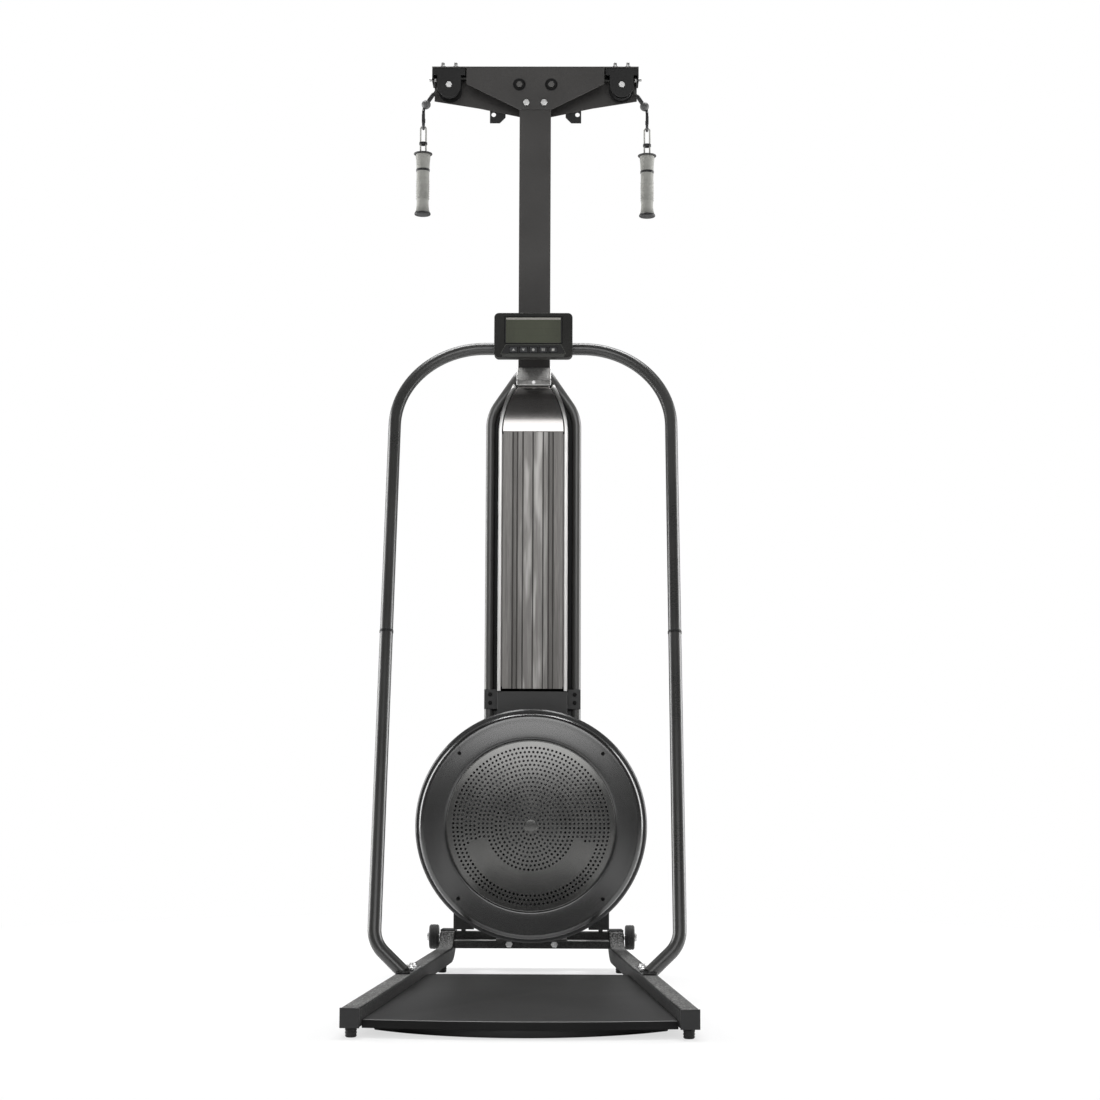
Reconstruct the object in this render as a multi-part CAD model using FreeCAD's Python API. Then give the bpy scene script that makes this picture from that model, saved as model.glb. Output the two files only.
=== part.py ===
import FreeCAD, Part
import math
import os

# Ski trainer: two splayed rails with a foot plate, a mast with a T-shaped pulley head, a hoop that
# braces the mast, an air flywheel in a round casing, and two pull cords with handles.
# Millimetres, +Z up, the user stands on the -Y side and faces +Y, +X is the user's right.
# Every place along Y is counted from the front ends of the rails until the parts are written out.

V = FreeCAD.Vector
ALONG_X, ALONG_Y, ALONG_Z = V(1, 0, 0), V(0, 1, 0), V(0, 0, 1)

# Clearances and shared sheet sizes
fit_gap = 0.2            # between pieces that are bolted or welded together
hole_gap = 0.1           # radial, round a bolt or a pin in its hole
running_gap = 0.05       # radial, round a shaft or an axle that turns
side_gap = 0.6           # beside a wheel, drum or pulley that turns
cord_gap = 0.3           # between a cord and the turning piece that carries it
overrun = 5.0            # how far a cutting tool reaches past what it cuts
plate = 3.0              # steel plate of the head and of the brackets

# Overall places
head_top_z = 2145.0
fan_z = 336.0
fan_front_y = 985.0

# Side rails, square tube, turned up at the rear
rail_size = 35.0
rail_wall = 2.0
rail_underside_z = 17.0
rail_front_outer_x = 315.0
rail_splay_deg = 4.92
rail_length = 1220.0
rail_bend_inner_r = 50.0
rail_tip_z = 90.0
cap_lip = 4.0
cap_plug = 11.0
foot_r = 10.5
foot_stud_r = 4.0
front_foot_y = 20.0
rear_foot_y = 1095.0

# Foot plate and the tray under it
deck_top_z = 30.0
deck_board = 15.0
deck_front_y = 25.0
deck_bow_y = 1.0
deck_rear_y = 778.0
deck_edge_r = 3.0
tray_floor_gap = 1.0
tray_inset = 7.0
tray_front_y = 107.0
tray_bow_y = 4.0

# Cross tubes between the turned-up rail ends
lower_cross_y = 1160.0
lower_cross_depth = 50.0
lower_cross_z = 48.0
lower_cross_height = 18.5
upper_cross_depth = 28.0
upper_cross_height = 18.0
cross_wall = 2.0

# Mast
mast_width = 75.0
mast_depth = 50.0
mast_wall = 3.0
mast_front_y = 1131.0
mast_top_z = 2072.0
mast_foot_thick = 6.0
mast_foot_width = 164.0

# Hoop
hoop_tube = 28.6
hoop_wall = 2.0
hoop_half_bottom = 312.5
hoop_half_top = 320.0
hoop_top_y = 1085.0
hoop_top_z = 1444.0
hoop_corner_r = 205.0
hoop_foot_y = 577.0
hoop_bend_z = 111.0
hoop_bend_r = 68.0
hoop_splice_z = 762.0
splice_ring_r = 15.6
splice_ring_height = 7.0
hoop_flange_thick = 5.0
hoop_flange_front_y = 552.0
hoop_flange_rear_y = 694.0
hoop_bolt_y = (628.0, 668.0)

# Fan casing
shell_r = 262.0
shell_wall = 3.0
shell_front_y = 1010.0
shell_rear_y = 1108.0
shell_round = 12.0
shell_seat_inner_r = 218.0
ring_outer_r = 253.0
ring_inner_r = 189.5
ring_round = 13.0
ring_wall = 2.5
grille_r = 194.0
grille_sheet = 2.0
grille_hole_r = 2.9
grille_pitch = 9.6
grille_hub_r = 16.0
grille_rim = 8.0
band_inner_r = 101.0
band_outer_r = 150.0
band_from_deg = 196.0
band_to_deg = 344.0
screw_circle_r = 229.0
screw_r = 2.2
screw_head_r = 4.2
screw_head = 2.5
vent_count = 30
vent_inner_r = 110.0
vent_outer_r = 232.0
vent_width = 9.0

# Flywheel and its shaft
shaft_r = 8.5
shaft_front_y = 1024.0
shaft_rear_y = 1204.0
hub_r = 26.0
wheel_disc_r = 236.0
wheel_disc = 5.0
wheel_rim_depth = 46.0
wheel_rim = 6.0
blade_count = 24
blade_sheet = 2.5
blade_inner_r = 70.0
blade_depth = 40.0
wheel_front_y = 1030.0
bearing_r = 20.0
bearing_width = 12.0
bearing_proud = 3.0

# Cords, drums and pulleys
cord_r = 2.5
drum_pitch = 14.0
drum_core_r = 19.0
drum_cord_r = 28.5
drum_flange_r = 33.0
drum_flange = 1.5
pulley_groove_r = 20.0
pulley_flange_r = 25.5
pulley_width = 12.0
pulley_axle_r = 5.0
pulley_shoulder_r = 8.0
pulley_nut_r = 8.0
pulley_nut = 6.0
end_pulley_x = 208.0
inner_pulley_x = 38.5
pulley_drop = 45.0

# Spring case at the back of the mast
case_r = 48.0
case_wall = 2.0
case_depth = 25.0
spring_r = 40.0
spring_bore_r = 11.0
spring_width = 9.5

# Head plates, pulley brackets and wall lugs
front_plate_half = 166.0
front_plate_end = 43.0
front_plate_drop = 107.0
rear_plate_half = 246.0
rear_plate_end = 69.0
rear_plate_knee_x = 136.0
rear_plate_knee_drop = 87.0
rear_plate_drop = 108.0
window_r = 14.5
strap_half = 66.0
strap_height = 44.0
bracket_inner_x = 169.0
bracket_outer_x = 249.0
bracket_band = 17.0
bracket_ear_r = 29.0
bracket_end_wall = 36.0
stud_r = 4.0
stud_proud = 8.0
head_stud_y = 1142.0
head_stud_proud = 14.0
stud_spacing = 31.0
side_bolt_drop = 24.0
lug_outer_x = 111.0
lug_width = 38.0
lug_height = 61.0
lug_bottom_drop = 122.0
lug_corner = 14.0
lug_hole_x = 102.0
lug_hole_drop = 101.0
lug_hole_r = 5.5
lug_sheet = 4.0

# Column: frame tubes, housing, ribbed panel, trims, hood, neck
column_tube = 21.0
column_wall = 2.0
column_outer_half = 112.0
column_y = 1120.0
column_bottom_z = 548.0
column_shoulder_z = 1262.0
column_shoulder_r = 95.0
column_lean_deg = 34.5
column_top_z = 1396.0
web_setback = 4.0
housing_half = 80.5
housing_wall = 2.0
housing_front_y = 1072.0
housing_bottom_z = 641.0
housing_shoulder_z = 1245.0
housing_top_z = 1367.0
housing_top_half = 46.0
shoulder_mid_x = 71.5
shoulder_mid_z = 1304.0
panel_half = 69.5
panel_thick = 4.0
panel_front_y = 1068.0
groove_width = 3.0
groove_depth = 1.8
groove_x = (0.0, 23.6, 36.3, 46.8)
trim_width = 8.0
trim_thick = 2.5
hood_inset = 9.5
hood_r = 213.0
hood_sheet = 2.0
neck_front_y = 1079.0
neck_bottom_z = 570.0
neck_wall = 3.0
neck_web_z = 556.0
neck_strap_z = 600.0
neck_strap_height = 46.0
neck_bolt_x = 98.0
neck_bolt_z = (615.0, 634.0)

# Saddle between the mast and the hood, clamp round the hoop
saddle_half = 40.0
saddle_flange_y = 1097.0
saddle_flange_z = 1360.0
saddle_knee_z = 1373.0
saddle_top_z = 1409.0
clamp_half = 30.0
clamp_front_y = 1069.0
clamp_half_height = 17.0

# Feet of the fan casing on the upper cross tube
fan_foot_inner_x = 131.0
fan_foot_outer_x = 178.0
fan_foot_z = 97.0
fan_foot_height = 84.0
fan_post_x = 160.0
fan_post_half = 5.0

# Transport wheels
wheel_r = 28.5
wheel_width = 22.0
wheel_inner_x = 217.0
wheel_y = 1190.0
wheel_z = 72.0
axle_r = 6.0
axle_head_r = 10.0
axle_head = 5.0
wheel_rim_r = 17.0

# Bolts
bolt_r = 5.0
bolt_head_r = 8.5
bolt_head = 6.5
cross_bolt_x = 52.6
cross_bolt_z = 58.5
foot_bolt_x = 68.0
foot_bolt_y = 1171.0
head_bolt_x = 21.3
head_bolt_drop = 91.0
small_bolt_r = 3.0
small_bolt_head_r = 5.2
small_bolt_head = 4.0

# Console
console_half = 91.0
console_bottom_z = 1411.0
console_top_z = 1516.0
console_front_y = 1018.0
console_depth = 32.0
console_wall = 2.5
console_corner_r = 11.0
lens_half = 67.0
lens_bottom_z = 1443.0
lens_top_z = 1507.0
lens_thick = 2.0
key_count = 5
key_pitch = 23.0
key_width = 18.0
key_height = 12.0
key_z = 1428.5
key_proud = 1.4
key_depth = 8.0
key_gap = 0.4
key_rim = 1.5
tilt_y = 1058.5
tilt_z = 1463.0
tilt_pin_r = 4.0
tilt_ear_r = 7.5
tilt_ear = 5.0
tilt_tongue_half = 18.0

# Hangers and grips
hang_x = 270.0
stopper_x = 264.0
stopper_drop = 88.0
stopper_r = 11.0
hook_wire_r = 3.0
hook_loop_r = 9.0
hook_top_z = 2033.0
hook_pivot_z = 2006.0
loop_wire_r = 2.0
loop_half = 6.5
grip_top_z = 1936.0
grip_bottom_z = 1784.0
grip_r_shares = (
    (0.0, 1.0), (0.045, 1.0), (0.085, 0.66), (0.3, 0.63), (0.55, 0.66),
    (0.8, 0.6), (0.93, 0.72), (1.0, 0.86),
)
grip_flange_r = 22.5

# Worked out from the sizes above
mast_rear_y = mast_front_y + mast_depth
mast_y = mast_front_y + mast_depth / 2
rail_top_z = rail_underside_z + rail_size
lower_cross_top_z = lower_cross_z + lower_cross_height
lower_cross_rear_y = lower_cross_y + lower_cross_depth
upper_cross_y = lower_cross_rear_y - upper_cross_depth
upper_cross_top_z = lower_cross_top_z + upper_cross_height
mast_foot_top_z = lower_cross_top_z + mast_foot_thick
splay = math.radians(rail_splay_deg)
rail_inner_front_x = rail_front_outer_x - rail_size
pulley_z = head_top_z - pulley_drop
head_front_y = mast_front_y - plate
head_rear_y = mast_rear_y + plate
side_plane_y = {-1: mast_y - drum_pitch / 2, 1: mast_y + drum_pitch / 2}
cord_on_pulley_r = pulley_groove_r + cord_r
drum_wound_r = drum_cord_r - cord_r - cord_gap
stopper_z = head_top_z - stopper_drop

parts = {}


def block(x0, x1, y0, y1, z0, z1):
    return Part.makeBox(x1 - x0, y1 - y0, z1 - z0, V(x0, y0, z0))


def rod(x, y, z, axis, radius, length):
    return Part.makeCylinder(radius, length, V(x, y, z), axis)


def pipe(x, y, z, axis, outer_r, inner_r, length):
    return rod(x, y, z, axis, outer_r, length).cut(rod(x, y, z, axis, inner_r, length))


def hexagon(x, y, z, axis, radius, length):
    side, other = (ALONG_Y, ALONG_Z) if axis.isEqual(ALONG_X, 1e-9) else (ALONG_X, ALONG_Y.cross(ALONG_X))
    if axis.isEqual(ALONG_Z, 1e-9):
        other = ALONG_Y
    turns = [math.radians(60 * k) for k in range(7)]
    ring = [V(x, y, z) + side * (radius * math.cos(t)) + other * (radius * math.sin(t)) for t in turns]
    return Part.Face(Part.makePolygon(ring)).extrude(axis * length)


def in_xz(y):
    return lambda u, v: V(u, y, v)


def in_yz(x):
    return lambda u, v: V(x, u, v)


def in_xy(z):
    return lambda u, v: V(u, v, z)


def round_corner(before, corner, after, radius):
    """Tangent points and the middle of the arc that rounds one corner of a path."""
    back = (before - corner).normalize()
    ahead = (after - corner).normalize()
    half_angle = back.getAngle(ahead) / 2
    reach = radius / math.tan(half_angle)
    bisector = (back + ahead).normalize()
    middle = corner + bisector * (radius / math.sin(half_angle) - radius)
    return corner + back * reach, middle, corner + ahead * reach


def rounded_wire(points, radii, closed):
    """A wire of straight runs joined by tangent arcs; a radius of zero keeps the corner sharp."""
    count = len(points)
    stops = []
    for k, point in enumerate(points):
        inner = closed or 0 < k < count - 1
        if radii[k] > 0 and inner:
            stops.append(round_corner(points[k - 1], point, points[(k + 1) % count], radii[k]))
        else:
            stops.append((point, None, point))
    edges = []
    last = count if closed else count - 1
    for k in range(count):
        first, middle, end = stops[k]
        if middle is not None:
            edges.append(Part.Arc(first, middle, end).toShape())
        if k < last:
            start_next = stops[(k + 1) % count][0]
            if end.distanceToPoint(start_next) > 1e-6:
                edges.append(Part.LineSegment(end, start_next).toShape())
    return Part.Wire(edges)


def sheet_form(outline, place, radii=None):
    points = [place(u, v) for u, v in outline]
    return Part.Face(rounded_wire(points, radii or [0] * len(points), True))


def prism(outline, place, along, radii=None):
    return sheet_form(outline, place, radii).extrude(along)


def turned(profile, y_axis_z):
    """A solid of revolution about the fan's axis from (radius, y) points."""
    ring = [V(r, y, y_axis_z) for r, y in profile]
    face = Part.Face(Part.makePolygon(ring + ring[:1]))
    return face.revolve(V(0, 0, y_axis_z), ALONG_Y, 360)


def bent_rod(points, radii, radius):
    path = rounded_wire(points, radii, False)
    ahead = (points[1] - points[0]).normalize()
    section = Part.Wire(Part.Circle(points[0], ahead, radius).toShape())
    return path.makePipeShell([section], True, False)


def bent_tube(points, radii, outer_r, wall):
    return bent_rod(points, radii, outer_r).cut(bent_rod(points, radii, outer_r - wall))


def mirrored(shape):
    return shape.mirror(V(0, 0, 0), ALONG_X)


def joined(shapes):
    first, rest = shapes[0], shapes[1:]
    return first.fuse(rest).removeSplitter() if rest else first


def group(shapes):
    return Part.makeCompound([solid for shape in shapes for solid in shape.Solids])


def rail_inner_x(y):
    """Distance of the rails' inner faces from the middle plane at a place along Y."""
    return rail_inner_front_x - y * math.tan(splay)


def rail_centre_x(y):
    return rail_inner_x(y) + rail_size / 2 / math.cos(splay)


def turned_with_rail(shape):
    """Takes a piece that is built along +Y beside the rail's inner front corner to its splayed place."""
    shape = shape.copy()
    shape.rotate(V(0, 0, 0), ALONG_Z, -rail_splay_deg)
    shape.translate(V(-rail_inner_front_x, 0, 0))
    return shape


def rail_profile(inset, front):
    outer_r = rail_bend_inner_r + rail_size
    bend_y = rail_length - outer_r
    bend_z = rail_underside_z + outer_r
    big, small = outer_r - inset, rail_bend_inner_r + inset
    bottom, top = rail_underside_z + inset, rail_top_z - inset
    tip = rail_tip_z - (cap_lip if inset == 0 else -overrun)
    rise_big = bend_z - tip
    rear = V(0, bend_y + math.sqrt(big ** 2 - rise_big ** 2), tip)
    front_of_tip = V(0, bend_y + math.sqrt(small ** 2 - rise_big ** 2), tip)
    quarter = math.sqrt(0.5)
    edges = [
        Part.LineSegment(V(0, front, bottom), V(0, bend_y, bottom)).toShape(),
        Part.Arc(V(0, bend_y, bottom), V(0, bend_y + big * quarter, bend_z - big * quarter), rear).toShape(),
        Part.LineSegment(rear, front_of_tip).toShape(),
        Part.Arc(front_of_tip, V(0, bend_y + small * quarter, bend_z - small * quarter),
                 V(0, bend_y, top)).toShape(),
        Part.LineSegment(V(0, bend_y, top), V(0, front, top)).toShape(),
        Part.LineSegment(V(0, front, top), V(0, front, bottom)).toShape(),
    ]
    return Part.Face(Part.Wire(edges))


def make_rails():
    solid = rail_profile(0, cap_lip).extrude(ALONG_X * rail_size)
    bore_width = rail_size - 2 * rail_wall
    bore = rail_profile(rail_wall, -overrun).extrude(ALONG_X * bore_width)
    bore.translate(V(rail_wall, 0, 0))
    rail = solid.cut(bore)
    rail.translate(V(-rail_size, 0, 0))
    rail = turned_with_rail(rail)
    axle_hole = rod(-rail_front_outer_x, wheel_y, wheel_z, ALONG_X, axle_r + hole_gap, rail_front_outer_x)
    rail = rail.cut(axle_hole)
    for y in hoop_bolt_y:
        rail = rail.cut(rod(-rail_centre_x(y), y, rail_top_z - rail_size / 2, ALONG_Z,
                            bolt_r + hole_gap, rail_size))
    for y in (front_foot_y, rear_foot_y):
        rail = rail.cut(rod(-rail_centre_x(y), y, rail_underside_z - overrun, ALONG_Z,
                            foot_stud_r + hole_gap, rail_size / 2))
    parts["left_rail"] = rail
    parts["right_rail"] = mirrored(rail)


def make_end_caps():
    plug_half = rail_size / 2 - rail_wall - fit_gap
    centre_z = rail_underside_z + rail_size / 2
    lip = block(-rail_size, 0, 0, cap_lip, rail_underside_z, rail_top_z)
    plug = block(-rail_size / 2 - plug_half, -rail_size / 2 + plug_half, cap_lip, cap_lip + cap_plug,
                 centre_z - plug_half, centre_z + plug_half)
    hollow = plug_half - rail_wall
    pocket = block(-rail_size / 2 - hollow, -rail_size / 2 + hollow, cap_lip, cap_lip + cap_plug,
                   centre_z - hollow, centre_z + hollow)
    front_edges = [e for e in lip.Edges if abs(e.CenterOfMass.y) < cap_lip / 4]
    lip = lip.makeFillet(cap_lip / 2, front_edges)
    front = lip.fuse(plug.cut(pocket))
    outer_r = rail_bend_inner_r + rail_size
    rise = rail_underside_z + outer_r - rail_tip_z
    bend_y = rail_length - outer_r
    near = bend_y + math.sqrt(rail_bend_inner_r ** 2 - rise ** 2)
    far = bend_y + math.sqrt(outer_r ** 2 - rise ** 2)
    rear = block(-rail_size, 0, near, far, rail_tip_z - cap_lip, rail_tip_z)
    top_edges = [e for e in rear.Edges if e.CenterOfMass.z > rail_tip_z - cap_lip / 4]
    rear = rear.makeFillet(cap_lip / 2, top_edges)
    caps = [turned_with_rail(front), turned_with_rail(rear)]
    parts["rail_end_caps"] = group(caps + [mirrored(c) for c in caps])


def make_feet():
    feet = []
    for y in (front_foot_y, rear_foot_y):
        x = -rail_centre_x(y)
        pad = rod(x, y, 0, ALONG_Z, foot_r, rail_underside_z)
        stud = rod(x, y, rail_underside_z, ALONG_Z, foot_stud_r, rail_size / 3)
        pad = pad.makeChamfer(foot_r / 8, [e for e in pad.Edges if e.CenterOfMass.z < foot_r / 8])
        feet.append(pad.fuse(stud))
    parts["rubber_feet"] = group(feet + [mirrored(f) for f in feet])


def deck_outline(inset, z, front_y, bow_y):
    rear_y = deck_rear_y - inset
    front_x = rail_inner_x(front_y) - fit_gap - inset
    rear_x = rail_inner_x(rear_y) - fit_gap - inset
    return Part.Face(Part.Wire([
        Part.Arc(V(-front_x, front_y, z), V(0, bow_y, z), V(front_x, front_y, z)).toShape(),
        Part.LineSegment(V(front_x, front_y, z), V(rear_x, rear_y, z)).toShape(),
        Part.LineSegment(V(rear_x, rear_y, z), V(-rear_x, rear_y, z)).toShape(),
        Part.LineSegment(V(-rear_x, rear_y, z), V(-front_x, front_y, z)).toShape(),
    ]))


def make_deck():
    board = deck_outline(0, deck_top_z - deck_board, deck_front_y, deck_bow_y).extrude(ALONG_Z * deck_board)
    top_front = [e for e in board.Edges
                 if e.CenterOfMass.z > deck_top_z - deck_board / 4 and e.CenterOfMass.y < deck_front_y]
    parts["foot_plate"] = board.makeFillet(deck_edge_r, top_front)
    depth = deck_top_z - deck_board - tray_floor_gap
    tray = deck_outline(tray_inset, tray_floor_gap, tray_front_y, tray_bow_y)
    parts["foot_plate_tray"] = tray.extrude(ALONG_Z * depth)


def cross_tube(y, depth, z, height):
    near, far = rail_inner_x(y) - fit_gap, rail_inner_x(y + depth) - fit_gap
    outline = [(-near, y), (near, y), (far, y + depth), (-far, y + depth)]
    tube = prism(outline, in_xy(z), ALONG_Z * height)
    return tube.cut(block(-near, near, y + cross_wall, y + depth - cross_wall,
                          z + cross_wall, z + height - cross_wall))


def make_cross_tubes():
    lower = cross_tube(lower_cross_y, lower_cross_depth, lower_cross_z, lower_cross_height)
    upper = cross_tube(upper_cross_y, upper_cross_depth, lower_cross_top_z, upper_cross_height)
    for side in (-1, 1):
        lower = lower.cut(rod(side * cross_bolt_x, lower_cross_y - overrun, cross_bolt_z, ALONG_Y,
                              bolt_r + hole_gap, lower_cross_depth + 2 * overrun))
        lower = lower.cut(rod(side * foot_bolt_x, foot_bolt_y, lower_cross_z + lower_cross_height / 2,
                              ALONG_Z, bolt_r + hole_gap, lower_cross_height))
    parts["front_cross_tube"] = lower
    parts["rear_cross_tube"] = upper


def hoop_point(half, z):
    """A point of the left side of the hoop's leaning plane."""
    lean = (hoop_top_y - hoop_foot_y) / (hoop_top_z - rail_top_z)
    return V(-half, hoop_foot_y + (z - rail_top_z) * lean, z)


def hoop_half_at(z):
    share = (z - hoop_bend_z) / (hoop_top_z - hoop_bend_z)
    return hoop_half_bottom + (hoop_half_top - hoop_half_bottom) * share


def make_hoop():
    tube_r = hoop_tube / 2
    foot = hoop_point(rail_centre_x(hoop_foot_y), rail_top_z)
    elbow = hoop_point(hoop_half_bottom, hoop_bend_z)
    splice = hoop_point(hoop_half_at(hoop_splice_z), hoop_splice_z)
    legs = bent_tube([foot + (foot - elbow) * 0.4, elbow, splice], [0, hoop_bend_r, 0], tube_r, hoop_wall)
    flange_top = rail_top_z + hoop_flange_thick
    flange = block(-rail_size + rail_wall, -rail_wall, hoop_flange_front_y, hoop_flange_rear_y,
                   rail_top_z, flange_top)
    flange = turned_with_rail(flange)
    below = block(-rail_front_outer_x, 0, 0, rail_length, 0, rail_top_z)
    for y in hoop_bolt_y:
        flange = flange.cut(rod(-rail_centre_x(y), y, rail_top_z - overrun, ALONG_Z, bolt_r + hole_gap,
                                hoop_flange_thick + 2 * overrun))
    solid_core = bent_rod([foot + (foot - elbow) * 0.4, elbow, splice], [0, hoop_bend_r, 0], tube_r - hoop_wall)
    leg = legs.fuse(flange.cut(solid_core)).cut(below)
    parts["left_hoop_leg"] = leg
    parts["right_hoop_leg"] = mirrored(leg)
    above = hoop_point(hoop_half_at(hoop_splice_z), hoop_splice_z)
    step = (hoop_point(hoop_half_top, hoop_top_z) - above).normalize() * fit_gap
    start = above + step
    corner = hoop_point(hoop_half_top, hoop_top_z)
    other = V(-corner.x, corner.y, corner.z)
    end = V(-start.x, start.y, start.z)
    parts["hoop_arch"] = bent_tube([start, corner, other, end], [0, hoop_corner_r, hoop_corner_r, 0],
                                   tube_r, hoop_wall)
    ahead = step.normalize()
    ring_start = above - ahead * (splice_ring_height / 2)
    ring = Part.makeCylinder(splice_ring_r, splice_ring_height, ring_start, ahead)
    ring = ring.cut(Part.makeCylinder(tube_r + hole_gap, splice_ring_height, ring_start, ahead))
    parts["hoop_splice_rings"] = group([ring, mirrored(ring)])


def make_mast():
    half, inner = mast_width / 2, mast_width / 2 - mast_wall
    tube = block(-half, half, mast_front_y, mast_rear_y, mast_foot_top_z, mast_top_z)
    tube = tube.cut(block(-inner, inner, mast_front_y + mast_wall, mast_rear_y - mast_wall,
                          mast_foot_top_z, mast_top_z))
    foot_half = mast_foot_width / 2
    foot = block(-foot_half, foot_half, mast_front_y, mast_rear_y, lower_cross_top_z, mast_foot_top_z)
    mast = tube.fuse(foot)
    reach = mast_depth + 2 * overrun
    mast = mast.cut(rod(0, mast_front_y - overrun, fan_z, ALONG_Y, bearing_r + hole_gap, reach))
    for side in (-1, 1):
        mast = mast.cut(rod(side * head_bolt_x, mast_front_y - overrun, head_top_z - head_bolt_drop,
                            ALONG_Y, bolt_r + hole_gap, reach))
        mast = mast.cut(rod(side * foot_bolt_x, foot_bolt_y, lower_cross_top_z - overrun, ALONG_Z,
                            bolt_r + hole_gap, mast_foot_thick + 2 * overrun))
    parts["mast"] = mast.removeSplitter()


def saddle_form(grown, half, headroom):
    """The saddle's bent section, grown by a gap; with headroom it also takes in what lies over it."""
    knee_y = saddle_flange_y - grown
    top_y = mast_front_y - fit_gap + 2 * grown
    low_z = saddle_flange_z - grown
    outline = [(knee_y, low_z), (knee_y, saddle_knee_z + headroom), (top_y, saddle_top_z + headroom),
               (top_y, saddle_top_z - 2 * plate - grown), (knee_y + plate, saddle_knee_z - plate - grown),
               (knee_y + plate, low_z)]
    return prism(outline, in_yz(-half), ALONG_X * (2 * half))


def make_saddle():
    knee_y = saddle_flange_y
    body = saddle_form(0, saddle_half, 0)
    hole_z = (saddle_flange_z + saddle_knee_z) / 2
    body = body.cut(rod(0, knee_y - overrun, hole_z, ALONG_Y, small_bolt_r + hole_gap, plate + 2 * overrun))
    parts["mast_saddle"] = body


def make_clamp():
    bottom, top = hoop_top_z - clamp_half_height, hoop_top_z + clamp_half_height
    body = block(-clamp_half, clamp_half, clamp_front_y, mast_front_y - fit_gap, bottom, top)
    body = body.makeFillet(plate, [e for e in body.Edges if abs(e.CenterOfMass.x) < fit_gap])
    tongue = block(-tilt_tongue_half, tilt_tongue_half, tilt_y, clamp_front_y + plate,
                   tilt_z - tilt_ear_r, tilt_z + tilt_ear_r)
    tongue = tongue.fuse(rod(-tilt_tongue_half, tilt_y, tilt_z, ALONG_X, tilt_ear_r, 2 * tilt_tongue_half))
    body = body.fuse(tongue)
    riser = block(-tilt_tongue_half, tilt_tongue_half, clamp_front_y, clamp_front_y + 4 * plate,
                  top - plate, tilt_z + tilt_ear_r)
    body = body.fuse(riser)
    body = body.cut(rod(-clamp_half - overrun, hoop_top_y, hoop_top_z, ALONG_X, hoop_tube / 2 + hole_gap,
                        2 * (clamp_half + overrun)))
    pin_reach = tilt_tongue_half + tilt_ear + side_gap
    body = body.cut(rod(-clamp_half, tilt_y, tilt_z, ALONG_X, tilt_pin_r, 2 * clamp_half))
    body = body.fuse(rod(-pin_reach, tilt_y, tilt_z, ALONG_X, tilt_pin_r, 2 * pin_reach))
    parts["hoop_clamp"] = body.removeSplitter()


def column_path():
    x = -(column_outer_half - column_tube / 2)
    lean = math.radians(column_lean_deg)
    corner_z = column_shoulder_z + column_shoulder_r * math.tan(lean / 2)
    top_x = x + (column_top_z + column_tube - corner_z) * math.tan(lean)
    return [V(x, column_y, column_bottom_z), V(x, column_y, corner_z),
            V(top_x, column_y, column_top_z + column_tube)]


def make_column_frame():
    tube = bent_tube(column_path(), [0, column_shoulder_r, 0], column_tube / 2, column_wall)
    above = block(-column_outer_half, column_outer_half, column_y - column_tube, column_y + column_tube,
                  column_top_z, column_top_z + 3 * column_tube)
    tube = tube.cut(above)
    tube = tube.cut(saddle_form(fit_gap, column_outer_half, 2 * column_tube))
    parts["column_frame"] = group([tube, mirrored(tube)])


def shoulder_face(inset, bottom_z):
    """The bottle-shaped front outline of the housing, drawn in by an inset."""
    half, top_half = housing_half - inset, housing_top_half - inset
    top_z = housing_top_z - inset
    return Part.Face(Part.Wire([
        Part.LineSegment(V(-half, 0, bottom_z), V(half, 0, bottom_z)).toShape(),
        Part.LineSegment(V(half, 0, bottom_z), V(half, 0, housing_shoulder_z)).toShape(),
        Part.Arc(V(half, 0, housing_shoulder_z), V(shoulder_mid_x - inset, 0, shoulder_mid_z),
                 V(top_half, 0, top_z)).toShape(),
        Part.LineSegment(V(top_half, 0, top_z), V(-top_half, 0, top_z)).toShape(),
        Part.Arc(V(-top_half, 0, top_z), V(-shoulder_mid_x + inset, 0, shoulder_mid_z),
                 V(-half, 0, housing_shoulder_z)).toShape(),
        Part.LineSegment(V(-half, 0, housing_shoulder_z), V(-half, 0, bottom_z)).toShape(),
    ]))


def shoulder_prism(inset, bottom_z, front_y, rear_y):
    body = shoulder_face(inset, bottom_z).extrude(ALONG_Y * (rear_y - front_y))
    body.translate(V(0, front_y, 0))
    return body


def hood_drum(front_y, radius_step):
    """A lying cylinder whose front follows the hood; the step makes it smaller."""
    return rod(-housing_half, front_y + hood_r, housing_shoulder_z, ALONG_X, hood_r - radius_step,
               2 * housing_half)


def in_front_of_hood(front_y):
    space = block(-housing_half, housing_half, front_y - overrun, mast_front_y, housing_shoulder_z,
                  housing_top_z + overrun)
    return space.cut(hood_drum(front_y, 0))


def tube_notches():
    notch = bent_rod(column_path(), [0, column_shoulder_r, 0], column_tube / 2 + side_gap)
    return [notch, mirrored(notch)]


def make_housing():
    rear_y = mast_front_y - fit_gap
    body = shoulder_prism(0, housing_bottom_z, housing_front_y, rear_y)
    hollow = shoulder_prism(housing_wall, housing_bottom_z - overrun, housing_front_y, rear_y - housing_wall)
    body = body.cut(hollow)
    body = body.cut(in_front_of_hood(housing_front_y + fit_gap))
    bottom, corner, top = column_path()
    outline = [(bottom.x, housing_bottom_z), (corner.x, corner.z), (top.x, top.z), (-top.x, top.z),
               (-corner.x, corner.z), (-bottom.x, housing_bottom_z)]
    web = prism(outline, in_xz(column_y + web_setback), ALONG_Y * plate)
    web = web.cut(block(-column_outer_half, column_outer_half, column_y, mast_rear_y, housing_top_z,
                        top.z + column_tube))
    web = web.cut(shoulder_prism(housing_wall / 2, housing_bottom_z - overrun, housing_front_y, mast_rear_y))
    body = joined([body, web]).cut(tube_notches())
    body = body.cut(saddle_form(fit_gap, housing_half, 2 * column_tube))
    parts["column_housing"] = body


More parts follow.
